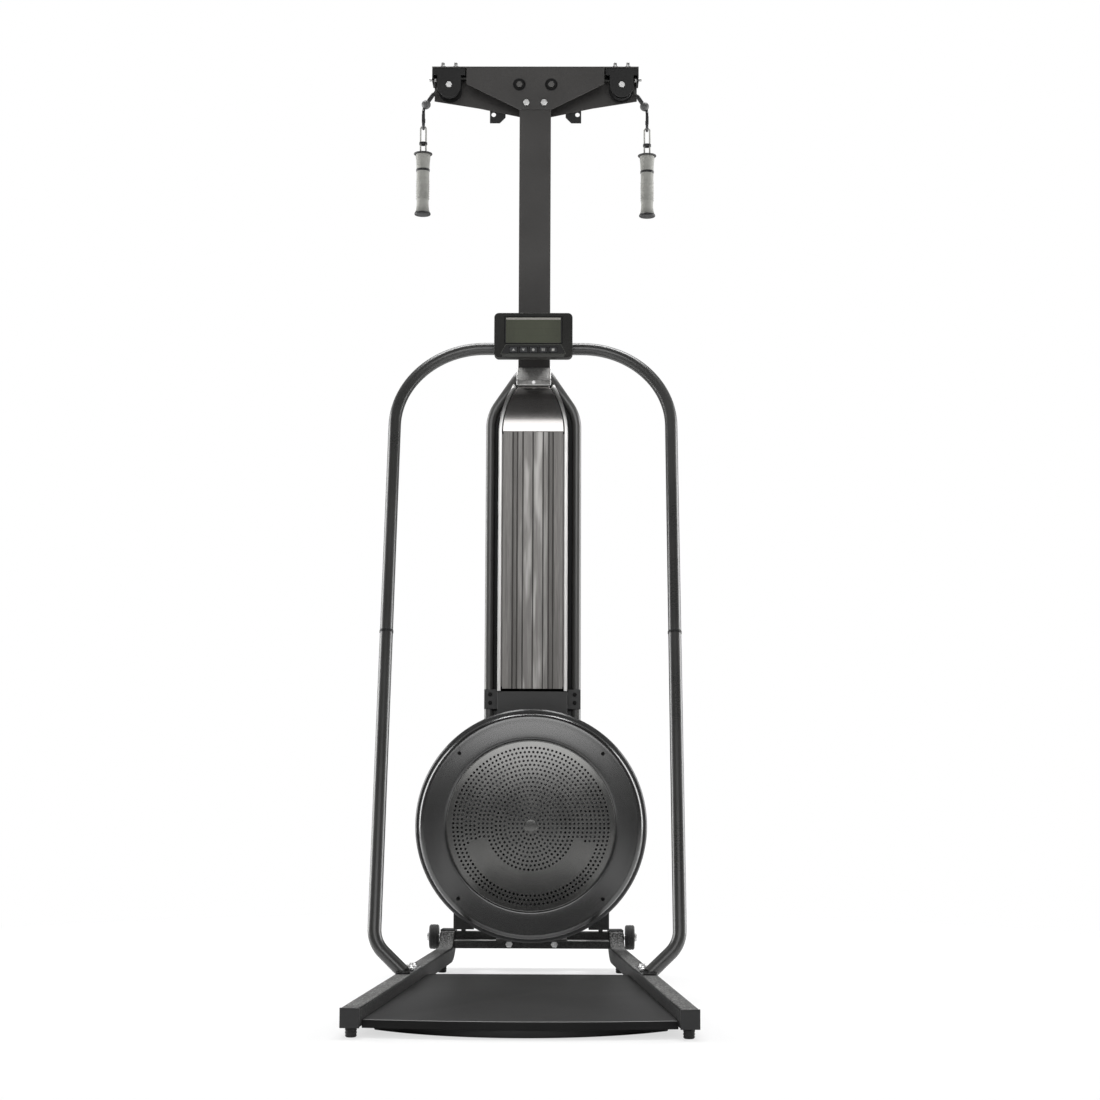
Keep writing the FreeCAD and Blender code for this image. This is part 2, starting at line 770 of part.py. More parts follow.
def make_panel():
    body = block(-panel_half, panel_half, panel_front_y, panel_front_y + panel_thick,
                 housing_bottom_z + overrun, housing_shoulder_z - fit_gap)
    offsets = sorted({side * x for x in groove_x for side in (-1, 1)})
    cuts = [block(x - groove_width / 2, x + groove_width / 2, panel_front_y - overrun,
                  panel_front_y + groove_depth, housing_bottom_z, housing_shoulder_z) for x in offsets]
    shelf = block(-panel_half, panel_half, panel_front_y + panel_thick,
                  panel_front_y + panel_thick + 2 * housing_wall, housing_bottom_z + 2 * overrun,
                  housing_shoulder_z - overrun)
    shelf = shelf.cut(block(-panel_half + panel_thick, panel_half - panel_thick, panel_front_y,
                            panel_front_y + mast_depth, housing_bottom_z, housing_shoulder_z))
    body = body.cut(cuts).fuse(shelf)
    wing = block(-housing_half + housing_wall + fit_gap, housing_half - housing_wall - fit_gap,
                 panel_front_y + panel_thick + housing_wall, panel_front_y + panel_thick + 2 * housing_wall,
                 housing_bottom_z + 2 * overrun, housing_shoulder_z - overrun)
    wing = wing.cut(block(-panel_half + panel_thick, panel_half - panel_thick, panel_front_y,
                          panel_front_y + mast_depth, housing_bottom_z, housing_shoulder_z))
    parts["ribbed_panel"] = body.fuse(wing).removeSplitter()


def make_trims_and_hood():
    front_y = housing_front_y - trim_thick - fit_gap
    inner = housing_half - trim_width
    strip = block(inner, housing_half, front_y, front_y + trim_thick, housing_bottom_z, housing_shoulder_z)
    sheet_zone = block(-housing_half, housing_half, front_y - overrun, mast_front_y, housing_shoulder_z,
                       housing_top_z)
    curved = hood_drum(front_y, 0).cut(hood_drum(front_y, trim_thick)).common(sheet_zone)
    reach = mast_front_y - front_y + 2 * overrun
    outer = shoulder_prism(0, housing_shoulder_z - overrun, front_y - overrun, front_y - overrun + reach)
    within = shoulder_prism(trim_width, housing_shoulder_z - overrun, front_y - overrun,
                            front_y - overrun + reach)
    rim = curved.common(outer.cut(within))
    clear_of_saddle = block(-saddle_half - fit_gap, saddle_half + fit_gap, front_y, mast_front_y,
                            saddle_flange_z - fit_gap, housing_top_z + overrun)
    rim = rim.cut(clear_of_saddle)
    parts["side_trims"] = joined([strip, mirrored(strip), rim])
    hood_front = panel_front_y
    zone = block(-housing_half, housing_half, hood_front - overrun, mast_front_y, housing_shoulder_z,
                 saddle_flange_z - fit_gap)
    skin = hood_drum(hood_front, 0).cut(hood_drum(hood_front, hood_sheet)).common(zone)
    hood_zone = shoulder_prism(hood_inset, housing_shoulder_z - overrun, hood_front - overrun,
                               hood_front - overrun + reach)
    face = skin.common(hood_zone)
    wall_zone = hood_zone.cut(shoulder_prism(hood_inset + hood_sheet, housing_shoulder_z - overrun,
                                             hood_front - overrun, hood_front - overrun + reach))
    walls = wall_zone.common(hood_drum(hood_front, 0)).common(
        block(-housing_half, housing_half, hood_front, housing_front_y + 4 * overrun,
              housing_shoulder_z, saddle_flange_z - fit_gap))
    parts["top_hood"] = joined([face, walls])


def make_neck():
    half = housing_half
    body = block(-half, half, neck_front_y, mast_front_y - fit_gap, neck_bottom_z, housing_bottom_z - fit_gap)
    body = body.cut(rod(0, shell_front_y - overrun, fan_z, ALONG_Y, shell_r + 2 * fit_gap,
                        shell_rear_y - shell_front_y + overrun + fit_gap))
    cavity = block(-half + neck_wall, half - neck_wall, neck_front_y + neck_wall, mast_front_y - neck_wall,
                   neck_bottom_z - overrun, housing_bottom_z - neck_wall)
    body = body.cut(cavity)
    tube_front = column_y - column_tube / 2
    front = tube_front - fit_gap - plate
    strap_top = neck_strap_z + neck_strap_height
    ear = block(half + side_gap, column_outer_half, front, front + plate, neck_strap_z, strap_top)
    rear = column_y + column_tube / 2
    tie = block(half, column_outer_half, rear + fit_gap, rear + fit_gap + plate, neck_strap_z, strap_top)
    bridge = block(half, half + plate, front, rear + fit_gap + plate, neck_strap_z,
                   housing_bottom_z - fit_gap)
    side = joined([ear, bridge, tie])
    for z in neck_bolt_z:
        side = side.cut(rod(neck_bolt_x, front - overrun, z, ALONG_Y, small_bolt_r + hole_gap,
                            plate + 2 * overrun))
    web = block(half, column_outer_half - column_tube / 2, column_y + web_setback,
                column_y + web_setback + plate, neck_web_z, housing_bottom_z - fit_gap)
    web = web.cut(tube_notches())
    parts["neck_block"] = joined([body, side, mirrored(side), web, mirrored(web)])


def make_fan_casing():
    back_inner = shell_rear_y - shell_wall
    rear = turned([
        (shell_seat_inner_r, shell_front_y), (shell_r - shell_wall, shell_front_y),
        (shell_r, shell_front_y + shell_wall), (shell_r, shell_rear_y - shell_round),
        (shell_r - shell_round / 3, shell_rear_y - shell_round / 3),
        (shell_r - shell_round, shell_rear_y), (bearing_r + shell_wall, shell_rear_y),
        (bearing_r + shell_wall, mast_front_y - bearing_proud - fit_gap),
        (shaft_r + shell_wall, mast_front_y - bearing_proud - fit_gap),
        (shaft_r + shell_wall, back_inner), (shell_r - shell_round, back_inner),
        (shell_r - shell_wall, shell_rear_y - shell_round), (shell_r - shell_wall, shell_front_y + shell_wall),
        (shell_seat_inner_r, shell_front_y + shell_wall),
    ], fan_z)
    slots = []
    middle_r = (vent_inner_r + vent_outer_r) / 2
    for k in range(vent_count):
        slot = block(vent_inner_r, vent_outer_r, back_inner - overrun, shell_rear_y + overrun,
                     fan_z - vent_width / 2, fan_z + vent_width / 2)
        slot = slot.cut(block(middle_r - vent_width / 2, middle_r + vent_width / 2,
                              back_inner - overrun, shell_rear_y + overrun,
                              fan_z - vent_width, fan_z + vent_width))
        slot.rotate(V(0, 0, fan_z), ALONG_Y, 360 * (k + 0.5) / vent_count)
        slots.extend(slot.Solids)
    rear = rear.cut(slots)
    ring_front = fan_front_y
    quarter = math.radians(45)
    rise = ring_round * (1 - math.cos(quarter))
    inner_round = ring_round - ring_wall
    inner_rise = inner_round * (1 - math.cos(quarter))
    seat_y = ring_front + ring_wall + grille_sheet + fit_gap
    ring = turned([
        (ring_outer_r, shell_front_y - fit_gap), (ring_outer_r, ring_front + ring_round),
        (ring_outer_r - rise, ring_front + rise), (ring_outer_r - ring_round, ring_front),
        (ring_inner_r, ring_front), (ring_inner_r, ring_front + ring_wall),
        (ring_outer_r - ring_round, ring_front + ring_wall),
        (ring_outer_r - ring_wall - inner_rise, ring_front + ring_wall + inner_rise),
        (ring_outer_r - ring_wall, ring_front + ring_round), (ring_outer_r - ring_wall, shell_front_y - fit_gap),
    ], fan_z)
    posts = []
    for k in range(4):
        angle = math.radians(45 + 90 * k)
        x, z = screw_circle_r * math.cos(angle), fan_z + screw_circle_r * math.sin(angle)
        hole = rod(x, ring_front - overrun, z, ALONG_Y, screw_r + hole_gap, shell_rear_y - ring_front)
        ring = ring.cut(hole)
        seat = block(-shell_r, shell_r, ring_front, shell_front_y + 2 * shell_wall, fan_z - shell_r,
                     fan_z + shell_r)
        rear = rear.cut(hole.common(seat))
        post = pipe(x, ring_front + ring_wall, z, ALONG_Y, screw_head_r, screw_r + hole_gap,
                    shell_front_y - fit_gap - ring_front - ring_wall)
        posts.append(post)
    parts["fan_rear_shell"] = rear
    parts["fan_front_ring"] = joined([ring] + posts)
    return seat_y


def grille_holes():
    """Places of the holes, in rings, without the plain curved band in the lower half."""
    places = []
    radius = grille_hub_r + grille_pitch / 2
    while radius < ring_inner_r - grille_rim:
        count = round(2 * math.pi * radius / grille_pitch)
        for k in range(count):
            angle = 360 * (k + 0.5) / count
            in_band = band_inner_r < radius < band_outer_r and band_from_deg < angle < band_to_deg
            if not in_band:
                turn = math.radians(angle)
                places.append((radius * math.cos(turn), radius * math.sin(turn)))
        radius += grille_pitch
    return places


def make_grille(seat_y):
    disc = Part.Wire(Part.Circle(V(0, seat_y, fan_z), ALONG_Y, grille_r).toShape())
    holes = [Part.Wire(Part.Circle(V(x, seat_y, fan_z + z), ALONG_Y, grille_hole_r).toShape())
             for x, z in grille_holes()]
    flat = Part.Face([disc] + holes)
    flat.validate()
    sheet = flat.extrude(ALONG_Y * -grille_sheet)
    parts["fan_grille"] = sheet


def make_cover_screws():
    screws = []
    for k in range(4):
        angle = math.radians(45 + 90 * k)
        x, z = screw_circle_r * math.cos(angle), fan_z + screw_circle_r * math.sin(angle)
        shank = rod(x, fan_front_y, z, ALONG_Y, screw_r, shell_front_y + shell_wall - fan_front_y)
        head = rod(x, fan_front_y - screw_head, z, ALONG_Y, screw_head_r, screw_head)
        slot = hexagon(x, fan_front_y - screw_head, z, ALONG_Y, screw_r, screw_head / 2)
        screws.append(shank.fuse(head).cut(slot))
    parts["cover_screws"] = group(screws)


def make_flywheel():
    hub_rear = wheel_front_y + wheel_rim_depth
    hub = pipe(0, shaft_front_y, fan_z, ALONG_Y, hub_r, shaft_r + fit_gap / 4, hub_rear - shaft_front_y)
    disc = pipe(0, hub_rear - wheel_disc, fan_z, ALONG_Y, wheel_disc_r, shaft_r + fit_gap / 4, wheel_disc)
    rim = pipe(0, wheel_front_y, fan_z, ALONG_Y, wheel_disc_r, wheel_disc_r - wheel_rim, wheel_rim_depth / 3)
    rim_back = pipe(0, hub_rear - wheel_rim_depth / 3, fan_z, ALONG_Y, wheel_disc_r, wheel_disc_r - wheel_rim,
                    wheel_rim_depth / 3)
    pieces = [hub, disc, rim_back]
    for k in range(blade_count):
        blade = block(blade_inner_r, wheel_disc_r - wheel_rim / 2, hub_rear - wheel_disc - blade_depth,
                      hub_rear - wheel_disc / 2, fan_z - blade_sheet / 2, fan_z + blade_sheet / 2)
        blade.rotate(V(0, 0, fan_z), ALONG_Y, 360 * k / blade_count)
        pieces.append(blade)
    pieces.append(rim)
    body = pieces[0].fuse(pieces[1:])
    parts["flywheel"] = body
    shaft = rod(0, shaft_front_y, fan_z, ALONG_Y, shaft_r, shaft_rear_y - shaft_front_y)
    parts["flywheel_shaft"] = shaft.makeChamfer(shaft_r / 6, shaft.Edges[0:1] + shaft.Edges[2:3])


def make_bearings():
    front = mast_front_y - bearing_proud
    rear = mast_rear_y + bearing_proud - bearing_width
    rings = [pipe(0, y, fan_z, ALONG_Y, bearing_r, shaft_r + running_gap, bearing_width)
             for y in (front, rear)]
    parts["shaft_bearings"] = group(rings)


def make_recoil_case():
    front = mast_rear_y + fit_gap
    cup = rod(0, front, fan_z, ALONG_Y, case_r, case_depth)
    cup = cup.makeFillet(2 * case_wall, [e for e in cup.Edges if e.CenterOfMass.y > front + case_depth / 2])
    cup = cup.cut(rod(0, front - overrun, fan_z, ALONG_Y, case_r - 2 * case_wall,
                      case_depth - case_wall + overrun))
    parts["recoil_case"] = cup
    first = mast_rear_y + bearing_proud + cord_gap
    second = first + spring_width + cord_gap
    springs = [pipe(0, y, fan_z, ALONG_Y, spring_r, spring_bore_r, spring_width) for y in (first, second)]
    parts["recoil_springs"] = group(springs)


def make_fan_feet():
    rear = shell_rear_y + fit_gap
    top_z = fan_foot_z + fan_foot_height
    upright = block(fan_foot_inner_x, fan_foot_outer_x, rear, rear + plate, fan_foot_z, top_z)
    arm = block(fan_foot_inner_x, fan_foot_outer_x, rear, lower_cross_rear_y, fan_foot_z, fan_foot_z + plate)
    post = block(fan_post_x - fan_post_half, fan_post_x + fan_post_half, upper_cross_y + cross_wall,
                 lower_cross_rear_y - cross_wall, upper_cross_top_z, fan_foot_z)
    lip_z = fan_z - math.sqrt((shell_r + fit_gap) ** 2 - fan_foot_inner_x ** 2)
    lip = block(fan_foot_inner_x, fan_foot_outer_x, shell_rear_y - 6 * plate, rear, fan_foot_z,
                lip_z + rail_size)
    lip = lip.cut(rod(0, shell_front_y, fan_z, ALONG_Y, shell_r + 2 * fit_gap,
                      rear - shell_front_y))
    foot = joined([upright, arm, post, lip])
    parts["fan_mount_brackets"] = group([foot, mirrored(foot)])


def make_wheels():
    inner = wheel_inner_x
    tyre = rod(inner, wheel_y, wheel_z, ALONG_X, wheel_r, wheel_width)
    tyre = tyre.makeFillet(wheel_width / 5, tyre.Edges[0:1] + tyre.Edges[2:3])
    dish = pipe(inner + wheel_width * 0.75, wheel_y, wheel_z, ALONG_X, wheel_rim_r, axle_r * 1.8,
                wheel_width)
    other_dish = pipe(inner - wheel_width * 0.75, wheel_y, wheel_z, ALONG_X, wheel_rim_r, axle_r * 1.8,
                      wheel_width)
    wheel = tyre.cut([dish, other_dish, rod(inner - overrun, wheel_y, wheel_z, ALONG_X, axle_r + running_gap,
                                            wheel_width + 2 * overrun)])
    parts["right_wheel"] = wheel
    parts["left_wheel"] = mirrored(wheel)


def head_drop(drop):
    return head_top_z - drop


def make_head():
    under = head_top_z - plate
    half = mast_width / 2
    front_outline = [
        (-front_plate_half, under), (-front_plate_half, head_drop(front_plate_end)),
        (-half, head_drop(front_plate_drop)), (half, head_drop(front_plate_drop)),
        (front_plate_half, head_drop(front_plate_end)), (front_plate_half, under),
    ]
    front = prism(front_outline, in_xz(head_front_y), ALONG_Y * plate)
    strap = block(-strap_half, strap_half, mast_front_y, mast_front_y + plate,
                  pulley_z - mast_wall - strap_height / 2, pulley_z - mast_wall + strap_height / 2)
    strap = strap.cut(block(-half - fit_gap, half + fit_gap, mast_front_y, mast_rear_y, mast_foot_top_z,
                            mast_top_z + fit_gap))
    knee_x = rear_plate_knee_x
    rear_outline = [
        (-rear_plate_half, under), (-rear_plate_half, head_drop(rear_plate_end)),
        (-knee_x, head_drop(rear_plate_knee_drop)), (-half, head_drop(rear_plate_drop)),
        (half, head_drop(rear_plate_drop)), (knee_x, head_drop(rear_plate_knee_drop)),
        (rear_plate_half, head_drop(rear_plate_end)), (rear_plate_half, under),
    ]
    rear = prism(rear_outline, in_xz(mast_rear_y), ALONG_Y * plate)
    top = block(-bracket_outer_x, bracket_outer_x, head_front_y, head_rear_y, under, head_top_z)
    reach = mast_depth + 4 * overrun
    for side in (-1, 1):
        bolt = rod(side * head_bolt_x, head_front_y - overrun, head_drop(head_bolt_drop), ALONG_Y,
                   bolt_r + hole_gap, reach)
        front, rear = front.cut(bolt), rear.cut(bolt)
        front = front.cut(rod(side * inner_pulley_x, head_front_y - overrun, pulley_z, ALONG_Y, window_r,
                              overrun + plate))
        axle_hole = rod(side * inner_pulley_x, head_front_y - overrun, pulley_z, ALONG_Y,
                        pulley_axle_r + hole_gap, reach)
        strap, rear = strap.cut(axle_hole), rear.cut(axle_hole)
        rear = rear.cut(rod(side * end_pulley_x, head_front_y - overrun, pulley_z, ALONG_Y,
                            pulley_axle_r + hole_gap, reach))
        for step in (-0.5, 0.5):
            top = top.cut(rod(side * end_pulley_x + step * stud_spacing, head_stud_y, under - overrun, ALONG_Z,
                              stud_r + hole_gap, plate + 2 * overrun))
        rear = rear.cut(rod(side * lug_hole_x, mast_rear_y - overrun, head_drop(lug_hole_drop), ALONG_Y,
                            lug_hole_r, plate + 2 * overrun))
    parts["head_front_plate"] = joined([front, strap])
    parts["head_rear_plate"] = rear
    parts["head_top_plate"] = top


def make_pulley_brackets():
    under = head_top_z - plate
    front, rear = mast_front_y + fit_gap, mast_rear_y - fit_gap
    band_bottom = head_top_z - bracket_band - plate
    web = block(bracket_inner_x, bracket_outer_x, front, rear, under - plate, under)
    cheeks = []
    for y in (front, rear - plate):
        band = block(bracket_inner_x, bracket_outer_x, y, y + plate, band_bottom, under)
        ear = block(end_pulley_x - bracket_ear_r, end_pulley_x + bracket_ear_r, y, y + plate, pulley_z,
                    band_bottom)
        disc = rod(end_pulley_x, y, pulley_z, ALONG_Y, bracket_ear_r, plate)
        cheeks.append(joined([band, ear, disc]))
    end = block(bracket_outer_x - plate, bracket_outer_x, front, rear, head_top_z - bracket_end_wall,
                under)
    body = joined([web, end] + cheeks)
    reach = mast_depth + 2 * overrun
    body = body.cut(rod(end_pulley_x, front - overrun, pulley_z, ALONG_Y, pulley_axle_r + hole_gap, reach))
    for step in (-0.5, 0.5):
        body = body.cut(rod(end_pulley_x + step * stud_spacing, head_stud_y, under - 2 * plate, ALONG_Z,
                            stud_r + hole_gap, 4 * plate))
    body = body.cut(rod(bracket_outer_x - 2 * plate, mast_y, head_drop(side_bolt_drop), ALONG_X,
                        stud_r + hole_gap, 4 * plate))
    parts["pulley_brackets"] = group([body, mirrored(body)])


def pulley_axle(x, plane_y, front_y, rear_y):
    """Axle with shoulders that keep the pulley in its plane, and a nut at each end."""
    inner_front = front_y + plate + fit_gap
    inner_rear = mast_rear_y - fit_gap - plate - fit_gap
    half = pulley_width / 2 + side_gap
    body = rod(x, front_y - pulley_nut, pulley_z, ALONG_Y, pulley_axle_r,
               rear_y - front_y + 2 * pulley_nut)
    body = body.fuse(rod(x, inner_front, pulley_z, ALONG_Y, pulley_shoulder_r, plane_y - half - inner_front))
    body = body.fuse(rod(x, plane_y + half, pulley_z, ALONG_Y, pulley_shoulder_r,
                         inner_rear - plane_y - half))
    for y in (front_y - pulley_nut, rear_y):
        body = body.fuse(hexagon(x, y, pulley_z, ALONG_Y, pulley_nut_r, pulley_nut - fit_gap))
    return body


def make_pulley_axles():
    axles = []
    for side in (-1, 1):
        plane_y = side_plane_y[side]
        axles.append(pulley_axle(side * end_pulley_x, plane_y, mast_front_y + fit_gap, head_rear_y + fit_gap))
        axles.append(pulley_axle(side * inner_pulley_x, plane_y, mast_front_y, head_rear_y + fit_gap))
    parts["pulley_axles"] = group(axles)


def make_pulleys():
    half = pulley_width / 2
    lip = (pulley_flange_r - pulley_groove_r) / 2
    for name, place in (("end_pulley", end_pulley_x), ("inner_pulley", inner_pulley_x)):
        for side, word in ((-1, "left"), (1, "right")):
            y = side_plane_y[side]
            bore = pulley_axle_r + running_gap
            profile = [
                (bore, y - half), (pulley_flange_r, y - half), (pulley_flange_r, y - half + lip / 2),
                (pulley_groove_r - cord_gap, y - cord_r), (pulley_groove_r - cord_gap, y + cord_r),
                (pulley_flange_r, y + half - lip / 2), (pulley_flange_r, y + half), (bore, y + half),
            ]
            pulley = turned(profile, pulley_z)
            pulley.translate(V(side * place, 0, 0))
            parts[word + "_" + name] = pulley


def make_drums():
    half = drum_pitch / 2 - side_gap / 2
    bore = shaft_r + running_gap
    for side, word in ((-1, "left"), (1, "right")):
        y = side_plane_y[side]
        profile = [
            (bore, y - half), (drum_flange_r, y - half), (drum_flange_r, y - half + drum_flange),
            (drum_core_r, y - half + drum_flange), (drum_core_r, y + half - drum_flange),
            (drum_flange_r, y + half - drum_flange), (drum_flange_r, y + half), (bore, y + half),
        ]
        core = turned(profile, fan_z)
        wound_width = 2 * (half - drum_flange - hole_gap)
        wound = pipe(0, y - wound_width / 2, fan_z, ALONG_Y, drum_wound_r, drum_core_r + hole_gap,
                     wound_width)
        parts[word + "_cord_drum"] = group([core, wound])


def drum_to_pulley(side):
    """Tangent points of the cord on the right of the drum and on the inner side of the inner pulley."""
    drum = V(0, side_plane_y[side], fan_z)
    pulley = V(side * inner_pulley_x, side_plane_y[side], pulley_z)
    ahead = pulley - drum
    distance = ahead.Length
    turn = math.atan2(ahead.z, ahead.x)
    drum_r = drum_cord_r
    pulley_side = 1 if side < 0 else -1
    swing = math.acos((drum_r - pulley_side * cord_on_pulley_r) / distance)
    angle = turn - swing
    normal = V(math.cos(angle), 0, math.sin(angle))
    return drum + normal * drum_r, pulley + normal * (pulley_side * cord_on_pulley_r), angle


def cord_leaves_pulley(side):
    """Where a cord leaves its end pulley, the way out to there and the direction to the stopper ball."""
    pulley = V(side * end_pulley_x, side_plane_y[side], pulley_z)
    to_ball = V(stopper_x - end_pulley_x, 0, stopper_z - pulley_z)
    turn = math.atan2(to_ball.z, to_ball.x) + math.acos(cord_on_pulley_r / to_ball.Length)
    out = V(side * math.cos(turn), 0, math.sin(turn))
    ahead = V(side * math.sin(turn), 0, -math.cos(turn))
    return pulley + out * cord_on_pulley_r, out, ahead


def make_drive_cords():
    cords = []
    for side in (-1, 1):
        y = side_plane_y[side]
        low, high, angle = drum_to_pulley(side)
        inner = V(side * inner_pulley_x, y, pulley_z)
        end = V(side * end_pulley_x, y, pulley_z)
        top = V(0, 0, cord_on_pulley_r)
        start = (high - inner).normalize()
        middle = (start + V(0, 0, 1)).normalize() * cord_on_pulley_r
        leaves, out, ahead = cord_leaves_pulley(side)
        over = (out + V(0, 0, 1)).normalize() * cord_on_pulley_r
        path = Part.Wire([
            Part.LineSegment(low, high).toShape(),
            Part.Arc(high, inner + middle, inner + top).toShape(),
            Part.LineSegment(inner + top, end + top).toShape(),
            Part.Arc(end + top, end + over, leaves).toShape(),
        ])
        section = Part.Wire(Part.Circle(low, (high - low).normalize(), cord_r).toShape())
        cord = path.makePipeShell([section], True, False)
        want = math.pi * cord_r ** 2 * path.Length
        print("drive cord", side, "length", round(path.Length), "volume share", round(cord.Volume / want, 4))
        cords.append(cord)
    parts["drive_cords"] = group(cords)


def make_lugs():
    bottom = head_drop(lug_bottom_drop)
    top = bottom + lug_height
    inner = lug_outer_x - lug_width
    outline = [(lug_outer_x, top), (lug_outer_x, bottom), (inner + lug_corner, bottom),
               (inner, bottom + lug_corner), (inner, top)]
    lug = prism(outline, in_xz(head_rear_y + fit_gap), ALONG_Y * lug_sheet)
    lug = lug.cut(rod(lug_hole_x, head_rear_y - overrun, head_drop(lug_hole_drop), ALONG_Y, lug_hole_r,
                      lug_sheet + 2 * overrun))
    parts["wall_lugs"] = group([lug, mirrored(lug)])


def bolt(x, y, z, axis, shank_r, head_r, head, length):
    """A bolt whose head starts at the given point and whose shank runs on along the axis."""
    shank = Part.makeCylinder(shank_r, length, V(x, y, z) + axis * head, axis)
    return hexagon(x, y, z, axis, head_r, head).fuse(shank)


def make_frame_bolts():
    bolts = []
    flange_top = rail_top_z + hoop_flange_thick
    for side in (-1, 1):
        through = bolt(side * cross_bolt_x, lower_cross_y - bolt_head - fit_gap, cross_bolt_z, ALONG_Y,
                       bolt_r, bolt_head_r, bolt_head, lower_cross_depth + bolt_head)
        bolts.append(through.fuse(hexagon(side * cross_bolt_x, lower_cross_rear_y + fit_gap, cross_bolt_z,
                                          ALONG_Y, bolt_head_r, bolt_head / 2)))
        for y in hoop_bolt_y:
            shank = rod(side * rail_centre_x(y), y, rail_top_z - 2 * bolt_head, ALONG_Z, bolt_r,
                        flange_top - rail_top_z + 2 * bolt_head)
            head = hexagon(side * rail_centre_x(y), y, flange_top + fit_gap / 2, ALONG_Z, bolt_head_r, bolt_head)
            bolts.append(shank.fuse(head).fuse(rod(side * rail_centre_x(y), y, flange_top - fit_gap, ALONG_Z,
                                                   bolt_r, bolt_head)))
        top = mast_foot_top_z
        shank = rod(side * foot_bolt_x, foot_bolt_y, lower_cross_top_z - bolt_head, ALONG_Z, bolt_r,
                    top - lower_cross_top_z + 2 * bolt_head)
        bolts.append(shank.fuse(hexagon(side * foot_bolt_x, foot_bolt_y, top + fit_gap, ALONG_Z, bolt_head_r,
                                        bolt_head)))
        bolts.append(bolt(side * head_bolt_x, head_front_y - bolt_head - fit_gap, head_drop(head_bolt_drop),
                          ALONG_Y, bolt_r, bolt_head_r, bolt_head, 3 * plate))
        rear = head_rear_y + fit_gap
        stub = rod(side * head_bolt_x, mast_rear_y - 2 * plate, head_drop(head_bolt_drop), ALONG_Y, bolt_r,
                   rear - mast_rear_y + 2 * plate)
        bolts.append(stub.fuse(hexagon(side * head_bolt_x, rear, head_drop(head_bolt_drop), ALONG_Y,
                                       bolt_head_r, bolt_head)))
        under = head_top_z - 2 * plate
        for step in (-0.5, 0.5):
            x = side * end_pulley_x + step * stud_spacing
            stud = rod(x, head_stud_y, under - pulley_nut, ALONG_Z, stud_r,
                       head_top_z + head_stud_proud - under + pulley_nut)
            nut = hexagon(x, head_stud_y, under - pulley_nut, ALONG_Z, 1.6 * stud_r, pulley_nut - fit_gap)
            upper_nut = hexagon(x, head_stud_y, head_top_z + fit_gap, ALONG_Z, 1.6 * stud_r, pulley_nut)
            bolts.append(stud.fuse([nut, upper_nut]))
        z = head_drop(side_bolt_drop)
        outward = rod(bracket_outer_x - 2 * plate, mast_y, z, ALONG_X, stud_r, 2 * plate + stud_proud)
        outward = outward.fuse(hexagon(bracket_outer_x - 3 * plate, mast_y, z, ALONG_X, 1.6 * stud_r,
                                       2 * plate - fit_gap))
        bolts.append(outward if side > 0 else mirrored(outward))
        inside = rail_inner_x(wheel_y) + rail_wall / 2
        wheel_face = wheel_inner_x + wheel_width + side_gap
        axle = rod(inside, wheel_y, wheel_z, ALONG_X, axle_r, wheel_face + axle_head - inside)
        head = hexagon(wheel_face, wheel_y, wheel_z, ALONG_X, axle_head_r, axle_head)
        collar = pipe(rail_front_outer_x - math.tan(splay) * wheel_y + 2 * side_gap, wheel_y, wheel_z, ALONG_X,
                      axle_head_r, axle_r, side_gap)
        axle = axle.fuse([head, collar])
        bolts.append(axle if side > 0 else mirrored(axle))
        front = column_y - column_tube / 2 - fit_gap - plate
        for z in neck_bolt_z:
            bolts.append(bolt(side * neck_bolt_x, front - small_bolt_head - fit_gap, z, ALONG_Y, small_bolt_r,
                              small_bolt_head_r, small_bolt_head, plate + fit_gap))
    hole_z = (saddle_flange_z + saddle_knee_z) / 2
    bolts.append(bolt(0, saddle_flange_y - small_bolt_head - fit_gap, hole_z, ALONG_Y, small_bolt_r,
                      small_bolt_head_r, small_bolt_head, plate + fit_gap))
    parts["frame_bolts"] = group(bolts)


def key_x(index):
    return (index - (key_count - 1) / 2) * key_pitch


